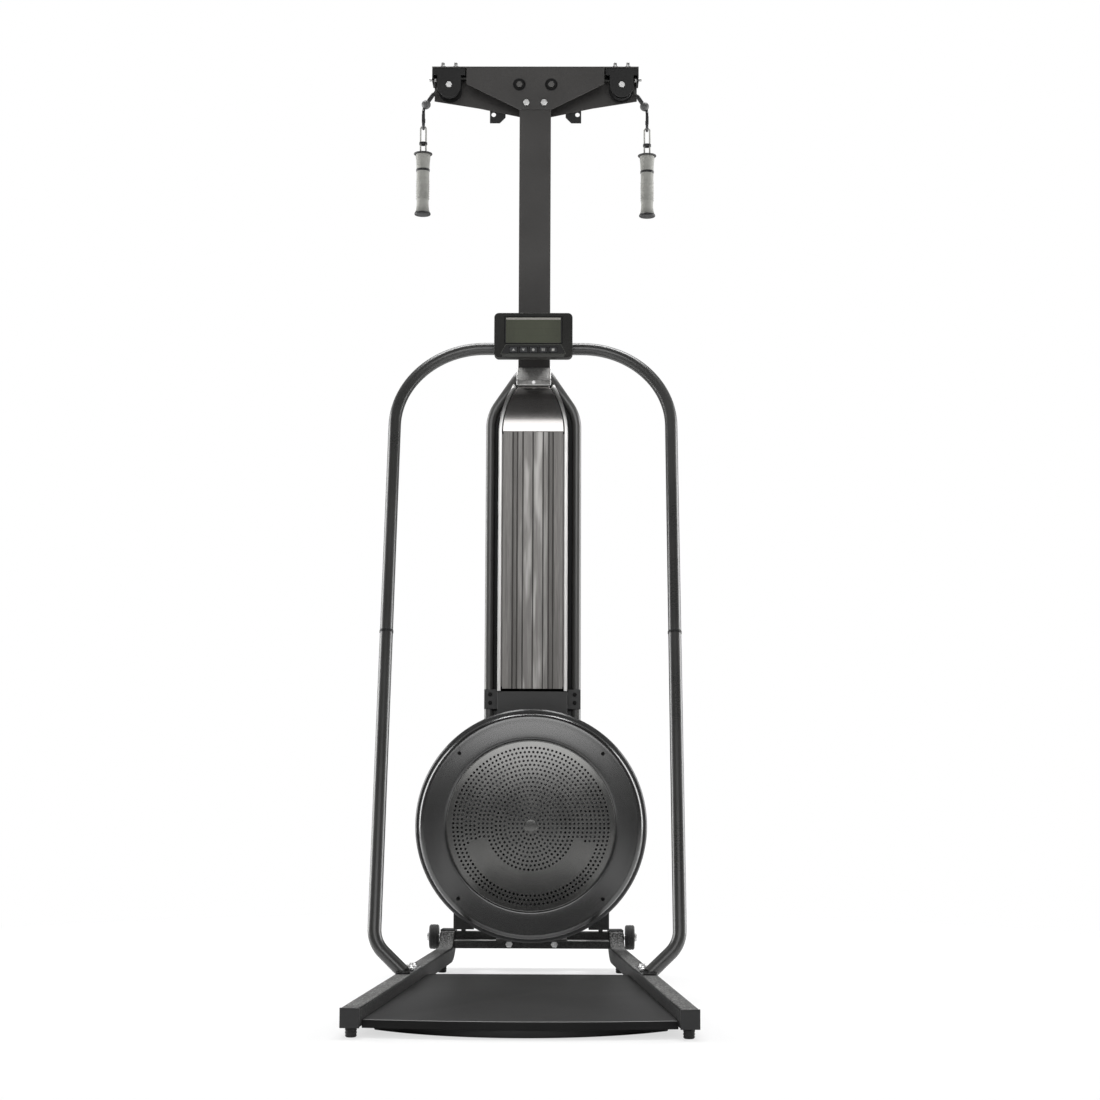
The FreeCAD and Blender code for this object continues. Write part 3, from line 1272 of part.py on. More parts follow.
def make_console():
    front, rear = console_front_y, console_front_y + console_depth
    outline = [(-console_half, console_bottom_z), (console_half, console_bottom_z),
               (console_half, console_top_z), (-console_half, console_top_z)]
    case = prism(outline, in_xz(front), ALONG_Y * console_depth, [console_corner_r] * 4)
    edges = [e for e in case.Edges if abs(e.CenterOfMass.y - front) < fit_gap
             or abs(e.CenterOfMass.y - rear) < fit_gap]
    case = case.makeFillet(console_corner_r / 4, edges)
    w = console_wall
    inner = [(-console_half + w, console_bottom_z + w), (console_half - w, console_bottom_z + w),
             (console_half - w, console_top_z - w), (-console_half + w, console_top_z - w)]
    cavity_front = front + 2 * lens_thick + fit_gap
    cavity = prism(inner, in_xz(cavity_front), ALONG_Y * (rear - w - cavity_front), [console_corner_r - w] * 4)
    case = case.cut(cavity)
    lens_low, lens_high = lens_bottom_z - fit_gap, lens_top_z + fit_gap
    case = case.cut(block(-lens_half - fit_gap, lens_half + fit_gap, front - overrun, front + lens_thick + fit_gap,
                          lens_low, lens_high))
    sight = 2 * lens_thick
    case = case.cut(block(-lens_half + sight, lens_half - sight, front, front + 4 * lens_thick,
                          lens_bottom_z + sight, lens_top_z - sight))
    for k in range(key_count):
        case = case.cut(block(key_x(k) - key_width / 2 - key_gap, key_x(k) + key_width / 2 + key_gap,
                              front - overrun, cavity_front + overrun,
                              key_z - key_height / 2 - key_gap, key_z + key_height / 2 + key_gap))
    ears = []
    for side in (-1, 1):
        x = side * (tilt_tongue_half + side_gap + tilt_ear / 2) - tilt_ear / 2
        ear = block(x, x + tilt_ear, rear - fit_gap, tilt_y, tilt_z - tilt_ear_r, tilt_z + tilt_ear_r)
        ear = ear.fuse(rod(x, tilt_y, tilt_z, ALONG_X, tilt_ear_r, tilt_ear))
        ears.append(ear.cut(rod(x, tilt_y, tilt_z, ALONG_X, tilt_pin_r + running_gap, tilt_ear)))
    parts["console_case"] = joined([case] + ears)
    parts["console_lens"] = block(-lens_half, lens_half, front, front + lens_thick, lens_bottom_z, lens_top_z)
    for k in range(key_count):
        key = block(key_x(k) - key_width / 2, key_x(k) + key_width / 2, front - key_proud,
                    front - key_proud + key_depth, key_z - key_height / 2, key_z + key_height / 2)
        key = key.makeFillet(key_proud / 2, [e for e in key.Edges
                                             if e.CenterOfMass.y < front - key_proud + fit_gap])
        rim_y = cavity_front + key_gap
        rim = block(key_x(k) - key_width / 2 - key_rim, key_x(k) + key_width / 2 + key_rim, rim_y,
                    front - key_proud + key_depth, key_z - key_height / 2 - key_rim,
                    key_z + key_height / 2 + key_rim)
        key = key.fuse(rim)
        parts["button_%d" % (k + 1)] = key


def make_hanger(side, word):
    y = side_plane_y[side]
    leaves, out, ahead = cord_leaves_pulley(side)
    start = leaves + ahead * fit_gap
    ball = V(side * stopper_x, y, stopper_z)
    stretch = (ball - start).Length - stopper_r - fit_gap
    parts[word + "_cord"] = Part.makeCylinder(cord_r, stretch, start, ahead)
    x = side * hang_x
    low, high = hook_pivot_z, hook_top_z
    r = hook_loop_r
    reach = r + hook_wire_r + overrun
    lower_bend = Part.makeTorus(r, hook_wire_r, V(x, y, low), ALONG_X)
    lower_bend = lower_bend.cut(block(x - reach, x + reach, y - reach, y + reach, low, low + reach))
    upper_bend = Part.makeTorus(r, hook_wire_r, V(x, y, high), ALONG_X)
    upper_bend = upper_bend.cut(block(x - reach, x + reach, y - reach, y + reach, high - reach, high))
    sides = [rod(x, y + step * r, low, ALONG_Z, hook_wire_r, high - low) for step in (-1, 1)]
    neck = rod(x, y, high + r, ALONG_Z, hook_wire_r, hook_wire_r + stopper_r)
    loop = joined([lower_bend, upper_bend] + sides + [neck])
    loop = loop.cut(Part.makeSphere(stopper_r + fit_gap, ball))
    parts[word + "_hanger"] = group([Part.makeSphere(stopper_r, ball), loop])
    make_grip(side, word, x, y)


def make_grip(side, word, x, y):
    height = grip_top_z - grip_bottom_z
    points = [V(x + grip_flange_r * share, y, grip_top_z - height * down) for down, share in grip_r_shares]
    axis_points = [V(x, y, grip_bottom_z), V(x, y, grip_top_z)]
    face = Part.Face(Part.makePolygon(points + axis_points + points[:1]))
    handle = face.revolve(V(x, y, 0), ALONG_Z, 360)
    top = hook_pivot_z - hook_loop_r + hook_wire_r + loop_wire_r + side_gap
    low = grip_top_z - fit_gap
    half = loop_half
    path = Part.Wire([
        Part.LineSegment(V(x - half, y, low), V(x - half, y, top - half)).toShape(),
        Part.Arc(V(x - half, y, top - half), V(x, y, top), V(x + half, y, top - half)).toShape(),
        Part.LineSegment(V(x + half, y, top - half), V(x + half, y, low)).toShape(),
    ])
    section = Part.Wire(Part.Circle(V(x - half, y, low), ALONG_Z, loop_wire_r).toShape())
    loop = path.makePipeShell([section], True, False)
    parts[word + "_grip"] = joined([handle, loop])


def make_everything():
    make_rails()
    make_end_caps()
    make_feet()
    make_deck()
    make_cross_tubes()
    make_hoop()
    make_mast()
    make_saddle()
    make_clamp()
    make_column_frame()
    make_housing()
    make_panel()
    make_trims_and_hood()
    make_neck()
    seat_y = make_fan_casing()
    make_grille(seat_y)
    make_cover_screws()
    make_flywheel()
    make_bearings()
    make_recoil_case()
    make_fan_feet()
    make_wheels()
    make_head()
    make_pulley_brackets()
    make_pulley_axles()
    make_pulleys()
    make_drums()
    make_drive_cords()
    make_lugs()
    make_frame_bolts()
    make_console()
    for side, word in ((-1, "left"), (1, "right")):
        make_hanger(side, word)


def write_parts():
    """Shifts the machine so that its origin is the middle of its footprint, and writes each part."""
    ends = Part.makeCompound([parts["rail_end_caps"], parts["left_wheel"]]).optimalBoundingBox(False, False)
    shift = -(ends.YMin + ends.YMax) / 2
    print("length", round(ends.YLength, 2), "shift along y", round(shift, 3))
    os.makedirs("parts", exist_ok=True)
    for name, shape in parts.items():
        moved = shape.copy()
        moved.translate(V(0, shift, 0))
        moved.exportStep("parts/" + name + ".step")
        if not moved.isValid() or not moved.Solids:
            print("faulty", name, moved.ShapeType, len(moved.Solids))
    return shift


make_everything()
origin_shift = write_parts()
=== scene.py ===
import math

import bmesh
import bpy
from mathutils import Matrix, Vector


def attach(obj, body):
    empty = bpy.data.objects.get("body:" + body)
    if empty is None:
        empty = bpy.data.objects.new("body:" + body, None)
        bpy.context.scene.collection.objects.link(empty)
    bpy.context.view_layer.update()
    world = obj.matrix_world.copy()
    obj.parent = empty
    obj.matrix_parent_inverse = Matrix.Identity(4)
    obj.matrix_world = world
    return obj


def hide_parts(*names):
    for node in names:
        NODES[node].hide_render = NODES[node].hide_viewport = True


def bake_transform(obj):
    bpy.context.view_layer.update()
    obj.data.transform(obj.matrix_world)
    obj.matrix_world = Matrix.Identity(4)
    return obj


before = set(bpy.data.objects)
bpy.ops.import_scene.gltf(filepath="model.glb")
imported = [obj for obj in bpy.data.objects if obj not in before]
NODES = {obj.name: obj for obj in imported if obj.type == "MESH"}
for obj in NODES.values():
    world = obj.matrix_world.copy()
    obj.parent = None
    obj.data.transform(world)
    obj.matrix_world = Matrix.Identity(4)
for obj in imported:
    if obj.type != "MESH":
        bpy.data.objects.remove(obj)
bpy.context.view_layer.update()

# The dressed look of a standing ski trainer. Sizes below are in millimetres in the part's own layout,
# where y is counted from the front ends of the rails, and at() turns them into Blender's metres.
SCENE = bpy.context.scene
SIDES = ((-1, "left"), (1, "right"))
ACROSS, BACK, UP = Vector((1, 0, 0)), Vector((0, 1, 0)), Vector((0, 0, 1))
UNTURNED = (0.0, 0.0, 0.0)
FOOTPRINT_SHIFT = -609.332
SPLAY = math.radians(4.92)
RAIL_FRONT_X = 280
RAIL_HALF = 17.5
RAIL_BEND_Y = 1135.0
HOOP_RADIUS = 14.3
SPLICE_X, SPLICE_Z = 316.16, 762
SHOULDER_Z, SHOULDER_R = 1245, 213
KEY_Z = 1428.5
FAN_Z = 336
PULLEY_Z = 2100
INNER_PULLEY_X = 38.5
END_PULLEY_X = 208
PULLEY_CORD_R = 22.5
DRUM_CORD_R = 28.5
BALL_X, BALL_Z = 264, 2057
HOOK_X = 270
GRIP_Z = 1784


def at(x, y, z):
    return Vector((x, y + FOOTPRINT_SHIFT, z)) / 1000


def grey(level):
    return (level, level, level)


def shade(colour, times, plus=0.0):
    return tuple(c * times + plus for c in colour)


# Shader maths


class Wire:
    """One socket of a shader's tree, with the sums that the finishes use."""

    def __init__(self, graph, socket):
        self.graph = graph
        self.socket = socket

    def sum(self, operation, *values):
        return self.graph.node("ShaderNodeMath", {"operation": operation}, values)[0]

    def __add__(self, other):
        return self.sum("ADD", self, other)

    def __radd__(self, other):
        return self.sum("ADD", other, self)

    def __sub__(self, other):
        return self.sum("SUBTRACT", self, other)

    def __rsub__(self, other):
        return self.sum("SUBTRACT", other, self)

    def __mul__(self, other):
        return self.sum("MULTIPLY", self, other)

    def __rmul__(self, other):
        return self.sum("MULTIPLY", other, self)

    def __truediv__(self, other):
        return self.sum("DIVIDE", self, other)

    def __rtruediv__(self, other):
        return self.sum("DIVIDE", other, self)

    def __abs__(self):
        return self.sum("ABSOLUTE", self)

    def sine(self):
        return self.sum("SINE", self)

    def lesser(self, other):
        return self.sum("MINIMUM", self, other)

    def greater(self, other):
        return self.sum("MAXIMUM", self, other)

    def ranged(self, low, high, to_low, to_high, kind="LINEAR"):
        feeds = {"Value": self, "From Min": low, "From Max": high, "To Min": to_low, "To Max": to_high}
        return self.graph.node("ShaderNodeMapRange", {"interpolation_type": kind}, feeds)[0]

    def above(self, level, blur):
        """0 below the level, 1 above it, with a soft edge."""
        return self.ranged(level - blur, level + blur, 0.0, 1.0, "SMOOTHSTEP")


class Graph:
    """The node tree of a material or of the world."""

    def __init__(self, owner):
        owner.use_nodes = True
        self.tree = owner.node_tree

    def node(self, kind, settings=None, feeds=()):
        made = self.tree.nodes.new(kind)
        for label, value in (settings or {}).items():
            if label == "stops":
                while len(made.color_ramp.elements) < len(value):
                    made.color_ramp.elements.new(0.5)
                for element, (place, colour) in zip(made.color_ramp.elements, value):
                    element.position = place
                    element.color = (*colour, 1)
            else:
                setattr(made, label, value)
        pairs = feeds.items() if isinstance(feeds, dict) else enumerate(feeds)
        for label, value in pairs:
            socket = made.inputs[label]
            if isinstance(value, Wire):
                self.tree.links.new(value.socket, socket)
            else:
                socket.default_value = (*value, 1) if socket.type == "RGBA" else value
        return [Wire(self, s) for s in made.outputs]

    def rays(self, *names):
        """1 for the rays of each of these names, 0 for others."""
        made = self.tree.nodes.new("ShaderNodeLightPath")
        return [Wire(self, made.outputs["Is %s Ray" % name]) for name in names]

    def parts(self, vector):
        return self.node("ShaderNodeSeparateXYZ", {}, {"Vector": vector})


class Finish(Graph):
    """One material: its Principled shader and the nodes that feed it."""

    def __init__(self, name, **constants):
        self.material = bpy.data.materials.new(name)
        super().__init__(self.material)
        self.shader = next(n for n in self.tree.nodes if n.type == "BSDF_PRINCIPLED")
        for label, value in constants.items():
            label = label.replace("_", " ")
            self.shader.inputs[label].default_value = (*value, 1) if isinstance(value, tuple) else value

    def place(self, stretch=(1, 1, 1)):
        where = self.node("ShaderNodeTexCoord")[3]
        return self.node("ShaderNodeMapping", {}, {"Vector": where, "Scale": stretch})[0]

    def along(self):
        """The piece's own UV map, which runs along and round it."""
        return self.node("ShaderNodeTexCoord")[2]

    def upper_side(self):
        """1 on the piece's top faces, as its own attribute says."""
        return self.node("ShaderNodeAttribute", {"attribute_name": "upper_side"})[2]

    def noise(self, scale, detail=2.0, stretch=(1, 1, 1), rough=0.5):
        feeds = {"Vector": self.place(stretch), "Scale": scale, "Detail": detail, "Roughness": rough}
        return self.node("ShaderNodeTexNoise", {}, feeds)[0]

    def cells(self, scale, output=0):
        return self.node("ShaderNodeTexVoronoi", {}, {"Vector": self.place(), "Scale": scale})[output]

    def ramp(self, value, *stops):
        return self.node("ShaderNodeValToRGB", {"stops": stops}, {"Fac": value})[0]

    def mixed(self, share, first, second):
        return self.node("ShaderNodeMix", {"data_type": "RGBA"}, {0: share, 6: first, 7: second})[2]

    def around(self, level, *swings):
        """A level that each noise swings up and down by its own share."""
        for noise, share in swings:
            level = (noise - 0.5) * share + level
        return level

    def feed(self, label, value):
        self.tree.links.new(value.socket, self.shader.inputs[label])

    def done(self, colour, roughness, height, depth, strength=0.5):
        """Feeds the colour, the roughness and a bump to the shader."""
        self.feed("Base Color", colour)
        self.feed("Roughness", roughness)
        feeds = {"Height": height, "Distance": depth, "Strength": strength}
        self.feed("Normal", self.node("ShaderNodeBump", {}, feeds)[0])
        return self.material


# Finishes


def powder_coat(name, dark, light, roughness, grain, depth):
    """Baked powder paint: pale and dark grains a few millimetres across, with a pebbled skin."""
    f = Finish(name, Specular_IOR_Level=0.28)
    fine = f.noise(grain, 3.0, rough=0.62)
    broad = f.noise(7.0)
    between = tuple((a + b) / 2 for a, b in zip(dark, light))
    grains = f.ramp(fine, (0.3, dark), (0.5, between), (0.68, light))
    coat = f.mixed(broad.above(0.5, 0.25) * 0.35, grains, shade(dark, 0.8))
    return f.done(coat, f.around(roughness, (fine, 0.22), (broad, 0.12)), f.noise(grain * 0.6), depth, 0.6)


def satin_paint(name, colour, roughness, depth=0.000012, shine=0.5):
    """Smooth sprayed paint with a faint orange-peel skin and dusty patches."""
    f = Finish(name, Specular_IOR_Level=shine)
    peel = f.noise(420)
    patches = f.noise(5.0, 3.0)
    paint = f.mixed(patches.above(0.5, 0.3), colour, shade(colour, 1.45, 0.003))
    return f.done(paint, f.around(roughness, (patches, 0.16), (peel, 0.06)), peel, depth)


def moulded_plastic(name, colour, roughness, coat=0.0):
    """Injection-moulded plastic with a spark-eroded texture and slight flow marks."""
    f = Finish(name, Specular_IOR_Level=0.42, Coat_Weight=coat, Coat_Roughness=0.06)
    spark = f.cells(1500)
    flow = f.noise(9.0, stretch=(1, 1, 0.4))
    plastic = f.mixed(flow.above(0.52, 0.25), colour, shade(colour, 1.3, 0.004))
    return f.done(plastic, (flow - 0.5) * 0.12 + (spark - 0.4) * 0.1 + roughness, spark, 0.00005, 0.35)


def bright_metal(name, colour, roughness, stretch, scale, depth=0.00003):
    """Bare metal with the fine lines of its last rolling, turning or brushing."""
    f = Finish(name, Metallic=1.0, Specular_IOR_Level=0.5)
    lines = f.noise(scale, 4.0, stretch, 0.6)
    metal = f.mixed(lines.above(0.5, 0.2), shade(colour, 0.8), colour)
    return f.done(metal, f.around(roughness, (lines, 0.2), (f.noise(30.0), 0.12)), lines, depth)


def zinc_spangle():
    """Hot-dip zinc: flat crystals in slightly different greys."""
    f = Finish("galvanised sheet", Metallic=0.6)
    flake = f.parts(f.cells(240.0, 1))[0]
    zinc = f.mixed(flake, (0.26, 0.255, 0.25), (0.4, 0.395, 0.385))
    return f.done(zinc, flake * 0.16 + 0.54, f.noise(500), 0.00003, 0.4)


def rubber(name, colour, roughness):
    """Soft rubber: dull, with pale bloom in patches and tiny pits."""
    f = Finish(name, Specular_IOR_Level=0.3, Sheen_Weight=0.15, Sheen_Roughness=0.5)
    bloom = f.noise(26.0, 3.0)
    skin = f.mixed(bloom.above(0.55, 0.2), colour, shade(colour, 1.35, 0.012))
    return f.done(skin, f.around(roughness, (bloom, 0.18)), f.noise(1900), 0.00008)


def braided_cord():
    """A round braid: two sets of strands that cross as they wind round the cord."""
    f = Finish("braided cord", Specular_IOR_Level=0.3)
    run, turn = f.parts(f.along())[:2]
    strands = (run * 1900 + turn * 25.13).sine().greater((run * 1900 - turn * 25.13).sine())
    braid = f.mixed(strands * 0.5 + 0.5, grey(0.012), (0.085, 0.085, 0.08))
    return f.done(braid, strands * -0.08 + 0.68, strands, 0.0003, 0.7)


def woven_strap():
    """Thin light webbing, its yarns crossing in small squares."""
    f = Finish("strap webbing", Specular_IOR_Level=0.3)
    run, turn = f.parts(f.along())[:2]
    yarns = (run * 3100).sine() * (turn * 50.27).sine()
    web = f.mixed(yarns * 0.5 + 0.5, (0.3, 0.3, 0.28), (0.58, 0.58, 0.55))
    return f.done(web, yarns * 0.06 + 0.72, yarns, 0.0002, 0.6)


def screen_glass():
    """The display behind its window: a grey-green field with darker side borders and a dark frame."""
    f = Finish("display window", Specular_IOR_Level=0.1)
    x, y, z = f.parts(f.place())
    beside = abs(x).above(0.0634, 0.0005)
    rim = abs(x).above(0.0652, 0.0004).greater(abs(z - 1.475).above(0.0302, 0.0004))
    rows = ((z - 1.443) * 393).sine().above(0.93, 0.05) * (1 - beside)
    field = f.mixed(f.noise(16.0), (0.052, 0.057, 0.037), (0.072, 0.078, 0.052))
    field = f.mixed(rows * 0.3, field, (0.05, 0.055, 0.038))
    field = f.mixed((abs(x) / 0.06).above(0.75, 0.35) * 0.35, field, (0.03, 0.032, 0.022))
    field = f.mixed(beside, field, (0.012, 0.013, 0.011))
    return f.done(f.mixed(rim, field, (0.008, 0.008, 0.009)), rim * 0.1 + 0.22, rim, 0.0002, 0.4)


def console_moulding():
    """Black moulding of the display's case, with a glossier raised field round the keys."""
    f = Finish("console moulding", Specular_IOR_Level=0.12)
    x, y, z = f.parts(f.place())
    height = z - 1.4195
    within = ((height * -0.5 + 0.0745) - abs(x)).lesser(height).lesser(0.0205 - height)
    front = 1 - y.above(0.4105, 0.0006)
    field = within.above(0.0, 0.00025) * front
    border = within.above(-0.0011, 0.00025) * front
    spark = f.cells(1300)
    body = f.mixed(f.noise(14.0, 3.0).above(0.5, 0.3), (0.013, 0.013, 0.012), (0.022, 0.022, 0.02))
    body = f.mixed(border * 0.8, body, (0.11, 0.115, 0.1))
    roughness = (spark - 0.4) * 0.08 + (field * -0.24 + 0.42)
    return f.done(f.mixed(field, body, grey(0.003)), roughness, field * 3 + spark * 0.2, 0.00012, 0.6)


def moulded_grip():
    """Pale soft grip: finely pebbled, with random dirty patches, and painted shade on its flared foot."""
    f = Finish("grip rubber", Specular_IOR_Level=0.35, Sheen_Weight=0.1)
    z = f.parts(f.place())[2]
    # painted shade: the flared foot, below 1.797 m, is painted dark
    foot = 1 - z.above(1.797, 0.012)
    grime = f.noise(60.0, 4.0)
    body = f.mixed(grime.above(0.56, 0.14) * 0.6, (0.33, 0.33, 0.308), (0.24, 0.24, 0.222))
    body = f.mixed(foot * 0.75, body, (0.1, 0.1, 0.09))
    return f.done(body, f.around(0.62, (grime, 0.16)), f.cells(900), 0.00012)


def coat_with_painted_top_light():
    """Coarse speckled paint of the rails, with painted top light: the upper side is painted paler, as lit
    from above.
    """
    f = Finish("charcoal powder coat", Specular_IOR_Level=0.1)
    fine = f.noise(300, 3.0, rough=0.62)
    broad = f.noise(7.0)
    plain = f.ramp(fine, (0.34, grey(0.008)), (0.5, grey(0.02)), (0.7, (0.07, 0.07, 0.068)))
    # painted light: paler grains on the rails' top faces, for the light from above
    painted_top_light = f.ramp(fine, (0.34, grey(0.03)), (0.5, (0.12, 0.12, 0.118)), (0.68, (0.3, 0.3, 0.295)))
    coat = f.mixed(f.upper_side() * (1 - broad.above(0.55, 0.2) * 0.35), plain, painted_top_light)
    return f.done(coat, f.around(0.6, (fine, 0.22), (broad, 0.12)), f.noise(180), 0.0005, 0.6)


def dark_sheet():
    """Blackened and oiled steel sheet of the fan's disc, a little blotchy."""
    f = Finish("blackened disc sheet", Metallic=1.0)
    blotches = f.noise(26.0, 3.0)
    grain = f.noise(700)
    sheet = f.mixed(blotches.above(0.5, 0.3), (0.135, 0.135, 0.132), (0.16, 0.159, 0.155))
    return f.done(sheet, f.around(0.235, (blotches, 0.05), (grain, 0.02)), grain, 0.0000003, 0.3)


def axle_steel_with_painted_shade():
    """Turned steel of the pulley axles, with painted shade: the inner two, seen through the head's windows,
    are painted dark.
    """
    f = Finish("axle steel", Metallic=1.0)
    x = f.parts(f.place())[0]
    turned = f.noise(300, 4.0)
    # painted shade: the inner axles, within 0.1 m of the middle, are painted dark
    steel = f.mixed(abs(x).above(0.1, 0.01), (0.1, 0.098, 0.095), (0.6, 0.6, 0.595))
    return f.done(steel, f.around(0.4, (turned, 0.2)), turned, 0.00003)


def plated_steel_with_painted_light():
    """Zinc plated bolts, with painted light: those high up are painted darker, those down near the floor
    brighter.
    """
    f = Finish("zinc plated steel", Metallic=1.0)
    z = f.parts(f.place())[2]
    cloud = f.noise(300, 3.0)
    # painted light: brighter on the bolts near the floor, darker on those higher up
    plating = f.mixed(z.above(0.3, 0.2), grey(0.75), (0.5, 0.5, 0.495))
    plating = f.mixed(cloud.above(0.5, 0.2) * 0.3, plating, (0.42, 0.42, 0.415))
    return f.done(plating, f.around(0.4, (cloud, 0.2)), cloud, 0.00003)


def ledge_highlight_coat():
    """Black coat of the cross tubes, with a painted highlight: a pale line on the ledge where the upper one
    rests.
    """
    f = Finish("cross tube coat", Specular_IOR_Level=0.28)
    z = f.parts(f.place())[2]
    grain = f.noise(500, 3.0, rough=0.62)
    highlight_patchiness = f.noise(40, 3.0, (0.3, 1, 1))
    # painted highlight: a pale band along the lit ledge, made patchy by noise
    ledge_highlight = z.above(0.0656, 0.0004) * (1 - z.above(0.0671, 0.0004))
    coat = f.mixed(grain.above(0.5, 0.2), grey(0.012), (0.055, 0.055, 0.054))
    coat = f.mixed(ledge_highlight * (highlight_patchiness * 0.6 + 0.5), coat, (0.6, 0.6, 0.59))
    return f.done(coat, f.around(0.36, (grain, 0.2)), grain, 0.0001, 0.6)


def plate_lacquer():
    """Black foot plate: lacquered on top, dull at its cut edge, with a pale painted highlight along the edge
    where they meet.
    """
    f = Finish("foot plate satin black", Specular_IOR_Level=0.12, Coat_Roughness=0.36)
    upper = f.upper_side()
    patches = f.noise(5.0, 3.0)
    # painted highlight: a pale line along the plate's rounded top edge
    rim = upper.above(0.3, 0.2) * (1 - upper.above(0.93, 0.04))
    lacquer = f.mixed(patches.above(0.5, 0.3), grey(0.006), grey(0.012))
    f.feed("Coat Weight", upper * 0.4)
    lacquer = f.mixed(rim * 0.9, lacquer, grey(0.3))
    return f.done(lacquer, f.around(0.46, (patches, 0.16)), f.noise(420), 0.00001)


def ribbed_aluminium():
    """Brushed panel sheet with painted light: painted shade in its grooves and on its outer ribs, a painted
    highlight over the middle and painted reflections in the middle strips.
    """
    f = Finish("brushed panel aluminium", Metallic=0.5, Specular_IOR_Level=0.4)
    x = f.parts(f.place())[0]
    lines = f.noise(900, 3.0, (1, 1, 0.02), 0.65)
    streaks = f.noise(60, 2.0, (2.2, 1, 0.07))
    glow = f.noise(6.2, 2.0, (9, 1, 1))
    across = abs(x)
    edges = across
    for groove_x in (0.0236, 0.0363, 0.0468):
        edges = edges.lesser(abs(across - groove_x))
    # masks of painted light: shade in the grooves, highlight over the middle, shade on the outer ribs
    groove_shade = 1 - edges.above(0.0014, 0.0005)
    middle = 1 - across.above(0.03, 0.012)
    outer_rib_shade = across.above(0.0363, 0.0006) * (1 - across.above(0.0468, 0.0008))
    sheet = f.mixed(lines.above(0.5, 0.2), (0.145, 0.139, 0.133), (0.23, 0.222, 0.213))
    sheet = f.mixed(streaks.above(0.55, 0.12) * 0.5, sheet, (0.09, 0.086, 0.082))
    # painted highlight and painted reflections on the middle strips; painted shade on the outer ribs and in
    # the grooves
    sheet = f.mixed(middle * 0.25, sheet, (0.3, 0.29, 0.28))
    sheet = f.mixed(glow.above(0.56, 0.14) * middle * 0.8, sheet, (0.48, 0.47, 0.455))
    sheet = f.mixed(outer_rib_shade * 0.4, sheet, (0.07, 0.066, 0.062))
    sheet = f.mixed(groove_shade * 0.8, sheet, (0.03, 0.028, 0.026))
    return f.done(sheet, f.around(0.42, (lines, 0.24)), lines, 0.00004)


def mirror_hood():
    """Black-chromed hood: a dark mirror that blurs a little, with fine polishing haze."""
    f = Finish("black chromed hood", Metallic=0.95, Specular_IOR_Level=0.5)
    haze = f.noise(18.0, 3.0)
    fine = f.noise(300, 2.0, (1, 0.1, 1))
    chrome = f.mixed(haze, (0.35, 0.338, 0.33), (0.41, 0.397, 0.388))
    return f.done(chrome, f.around(0.17, (haze, 0.06), (fine, 0.03)), fine, 0.000004, 0.3)


charcoal_coat = coat_with_painted_top_light()
tube_coat = ledge_highlight_coat()
mast_coat = powder_coat("fine charcoal coat", (0.041, 0.0392, 0.0378), (0.079, 0.0757, 0.073), 0.5, 600,
                        0.0001)
bracket_coat = powder_coat("black powder coat", grey(0.006), grey(0.02), 0.42, 900, 0.00005)
black_satin = satin_paint("black satin paint", (0.009, 0.009, 0.0088), 0.28)
hoop_satin = satin_paint("hoop satin paint", (0.027, 0.027, 0.0262), 0.3, 0.000006, 0.7)
column_satin = satin_paint("column satin paint", (0.06, 0.0592, 0.0575), 0.32, 0.000006, 0.7)
deck_black = plate_lacquer()
tray_black = moulded_plastic("underside plastic", grey(0.005), 0.6)
neck_black = satin_paint("neck black paint", grey(0.02), 0.45)
housing_black = satin_paint("housing black paint", grey(0.008), 0.5, shine=0.2)
disc_black = dark_sheet()
shell_plastic = moulded_plastic("casing plastic", (0.014, 0.014, 0.0145), 0.3, 0.3)
ring_plastic = satin_paint("front ring gloss", (0.004, 0.004, 0.0038), 0.23, 0.0000004, 1.3)
hard_plastic = moulded_plastic("hard black plastic", (0.01, 0.01, 0.0105), 0.4)
band_black = moulded_plastic("band plastic", (0.014, 0.014, 0.0145), 0.45)
ball_grey = moulded_plastic("stopper plastic", grey(0.075), 0.45)
hood_chrome = mirror_hood()
strip_silver = moulded_plastic("pale display strip", (0.26, 0.25, 0.23), 0.45)
mark_white = moulded_plastic("pale key marks", (0.36, 0.36, 0.34), 0.5)
case_lip = moulded_plastic("console lip plastic", (0.03, 0.031, 0.027), 0.5)
case_black = console_moulding()
screen_lens = screen_glass()
panel_metal = ribbed_aluminium()
trim_metal = bright_metal("trim aluminium", (0.62, 0.615, 0.605), 0.36, (1, 1, 0.03), 500)
bolt_steel = plated_steel_with_painted_light()
axle_steel = axle_steel_with_painted_shade()
# partly painted highlight: the saddle's rolled edges are real, and their paler, shinier zinc stands in for
# the light along them
edge_zinc_highlight = bright_metal("rolled zinc edge", (0.7, 0.7, 0.69), 0.3, (0.1, 1, 1), 300)
screw_black = bright_metal("blackened screw steel", grey(0.014), 0.4, (1, 1, 1), 600)
hook_black = bright_metal("blackened hook steel", (0.07, 0.07, 0.072), 0.36, (1, 1, 0.3), 500)
fan_metal = bright_metal("cast fan aluminium", (0.3, 0.3, 0.31), 0.5, (1, 1, 1), 120, 0.0001)
galvanised = zinc_spangle()
foot_rubber = rubber("foot rubber", grey(0.012), 0.72)
key_rubber = rubber("key rubber", (0.03, 0.031, 0.033), 0.6)
grip_rubber = moulded_grip()
cord_braid = braided_cord()
strap_web = woven_strap()

plain_nodes = {"flywheel": fan_metal, "flywheel_shaft": bolt_steel, "shaft_bearings": bolt_steel,
               "recoil_springs": bolt_steel}
for name, node in NODES.items():
    node.data.materials.clear()
    node.data.materials.append(plain_nodes.get(name, hard_plastic))


# Building the pieces


def linked(name, data):
    made = bpy.data.objects.new(name, data)
    SCENE.collection.objects.link(made)
    return made


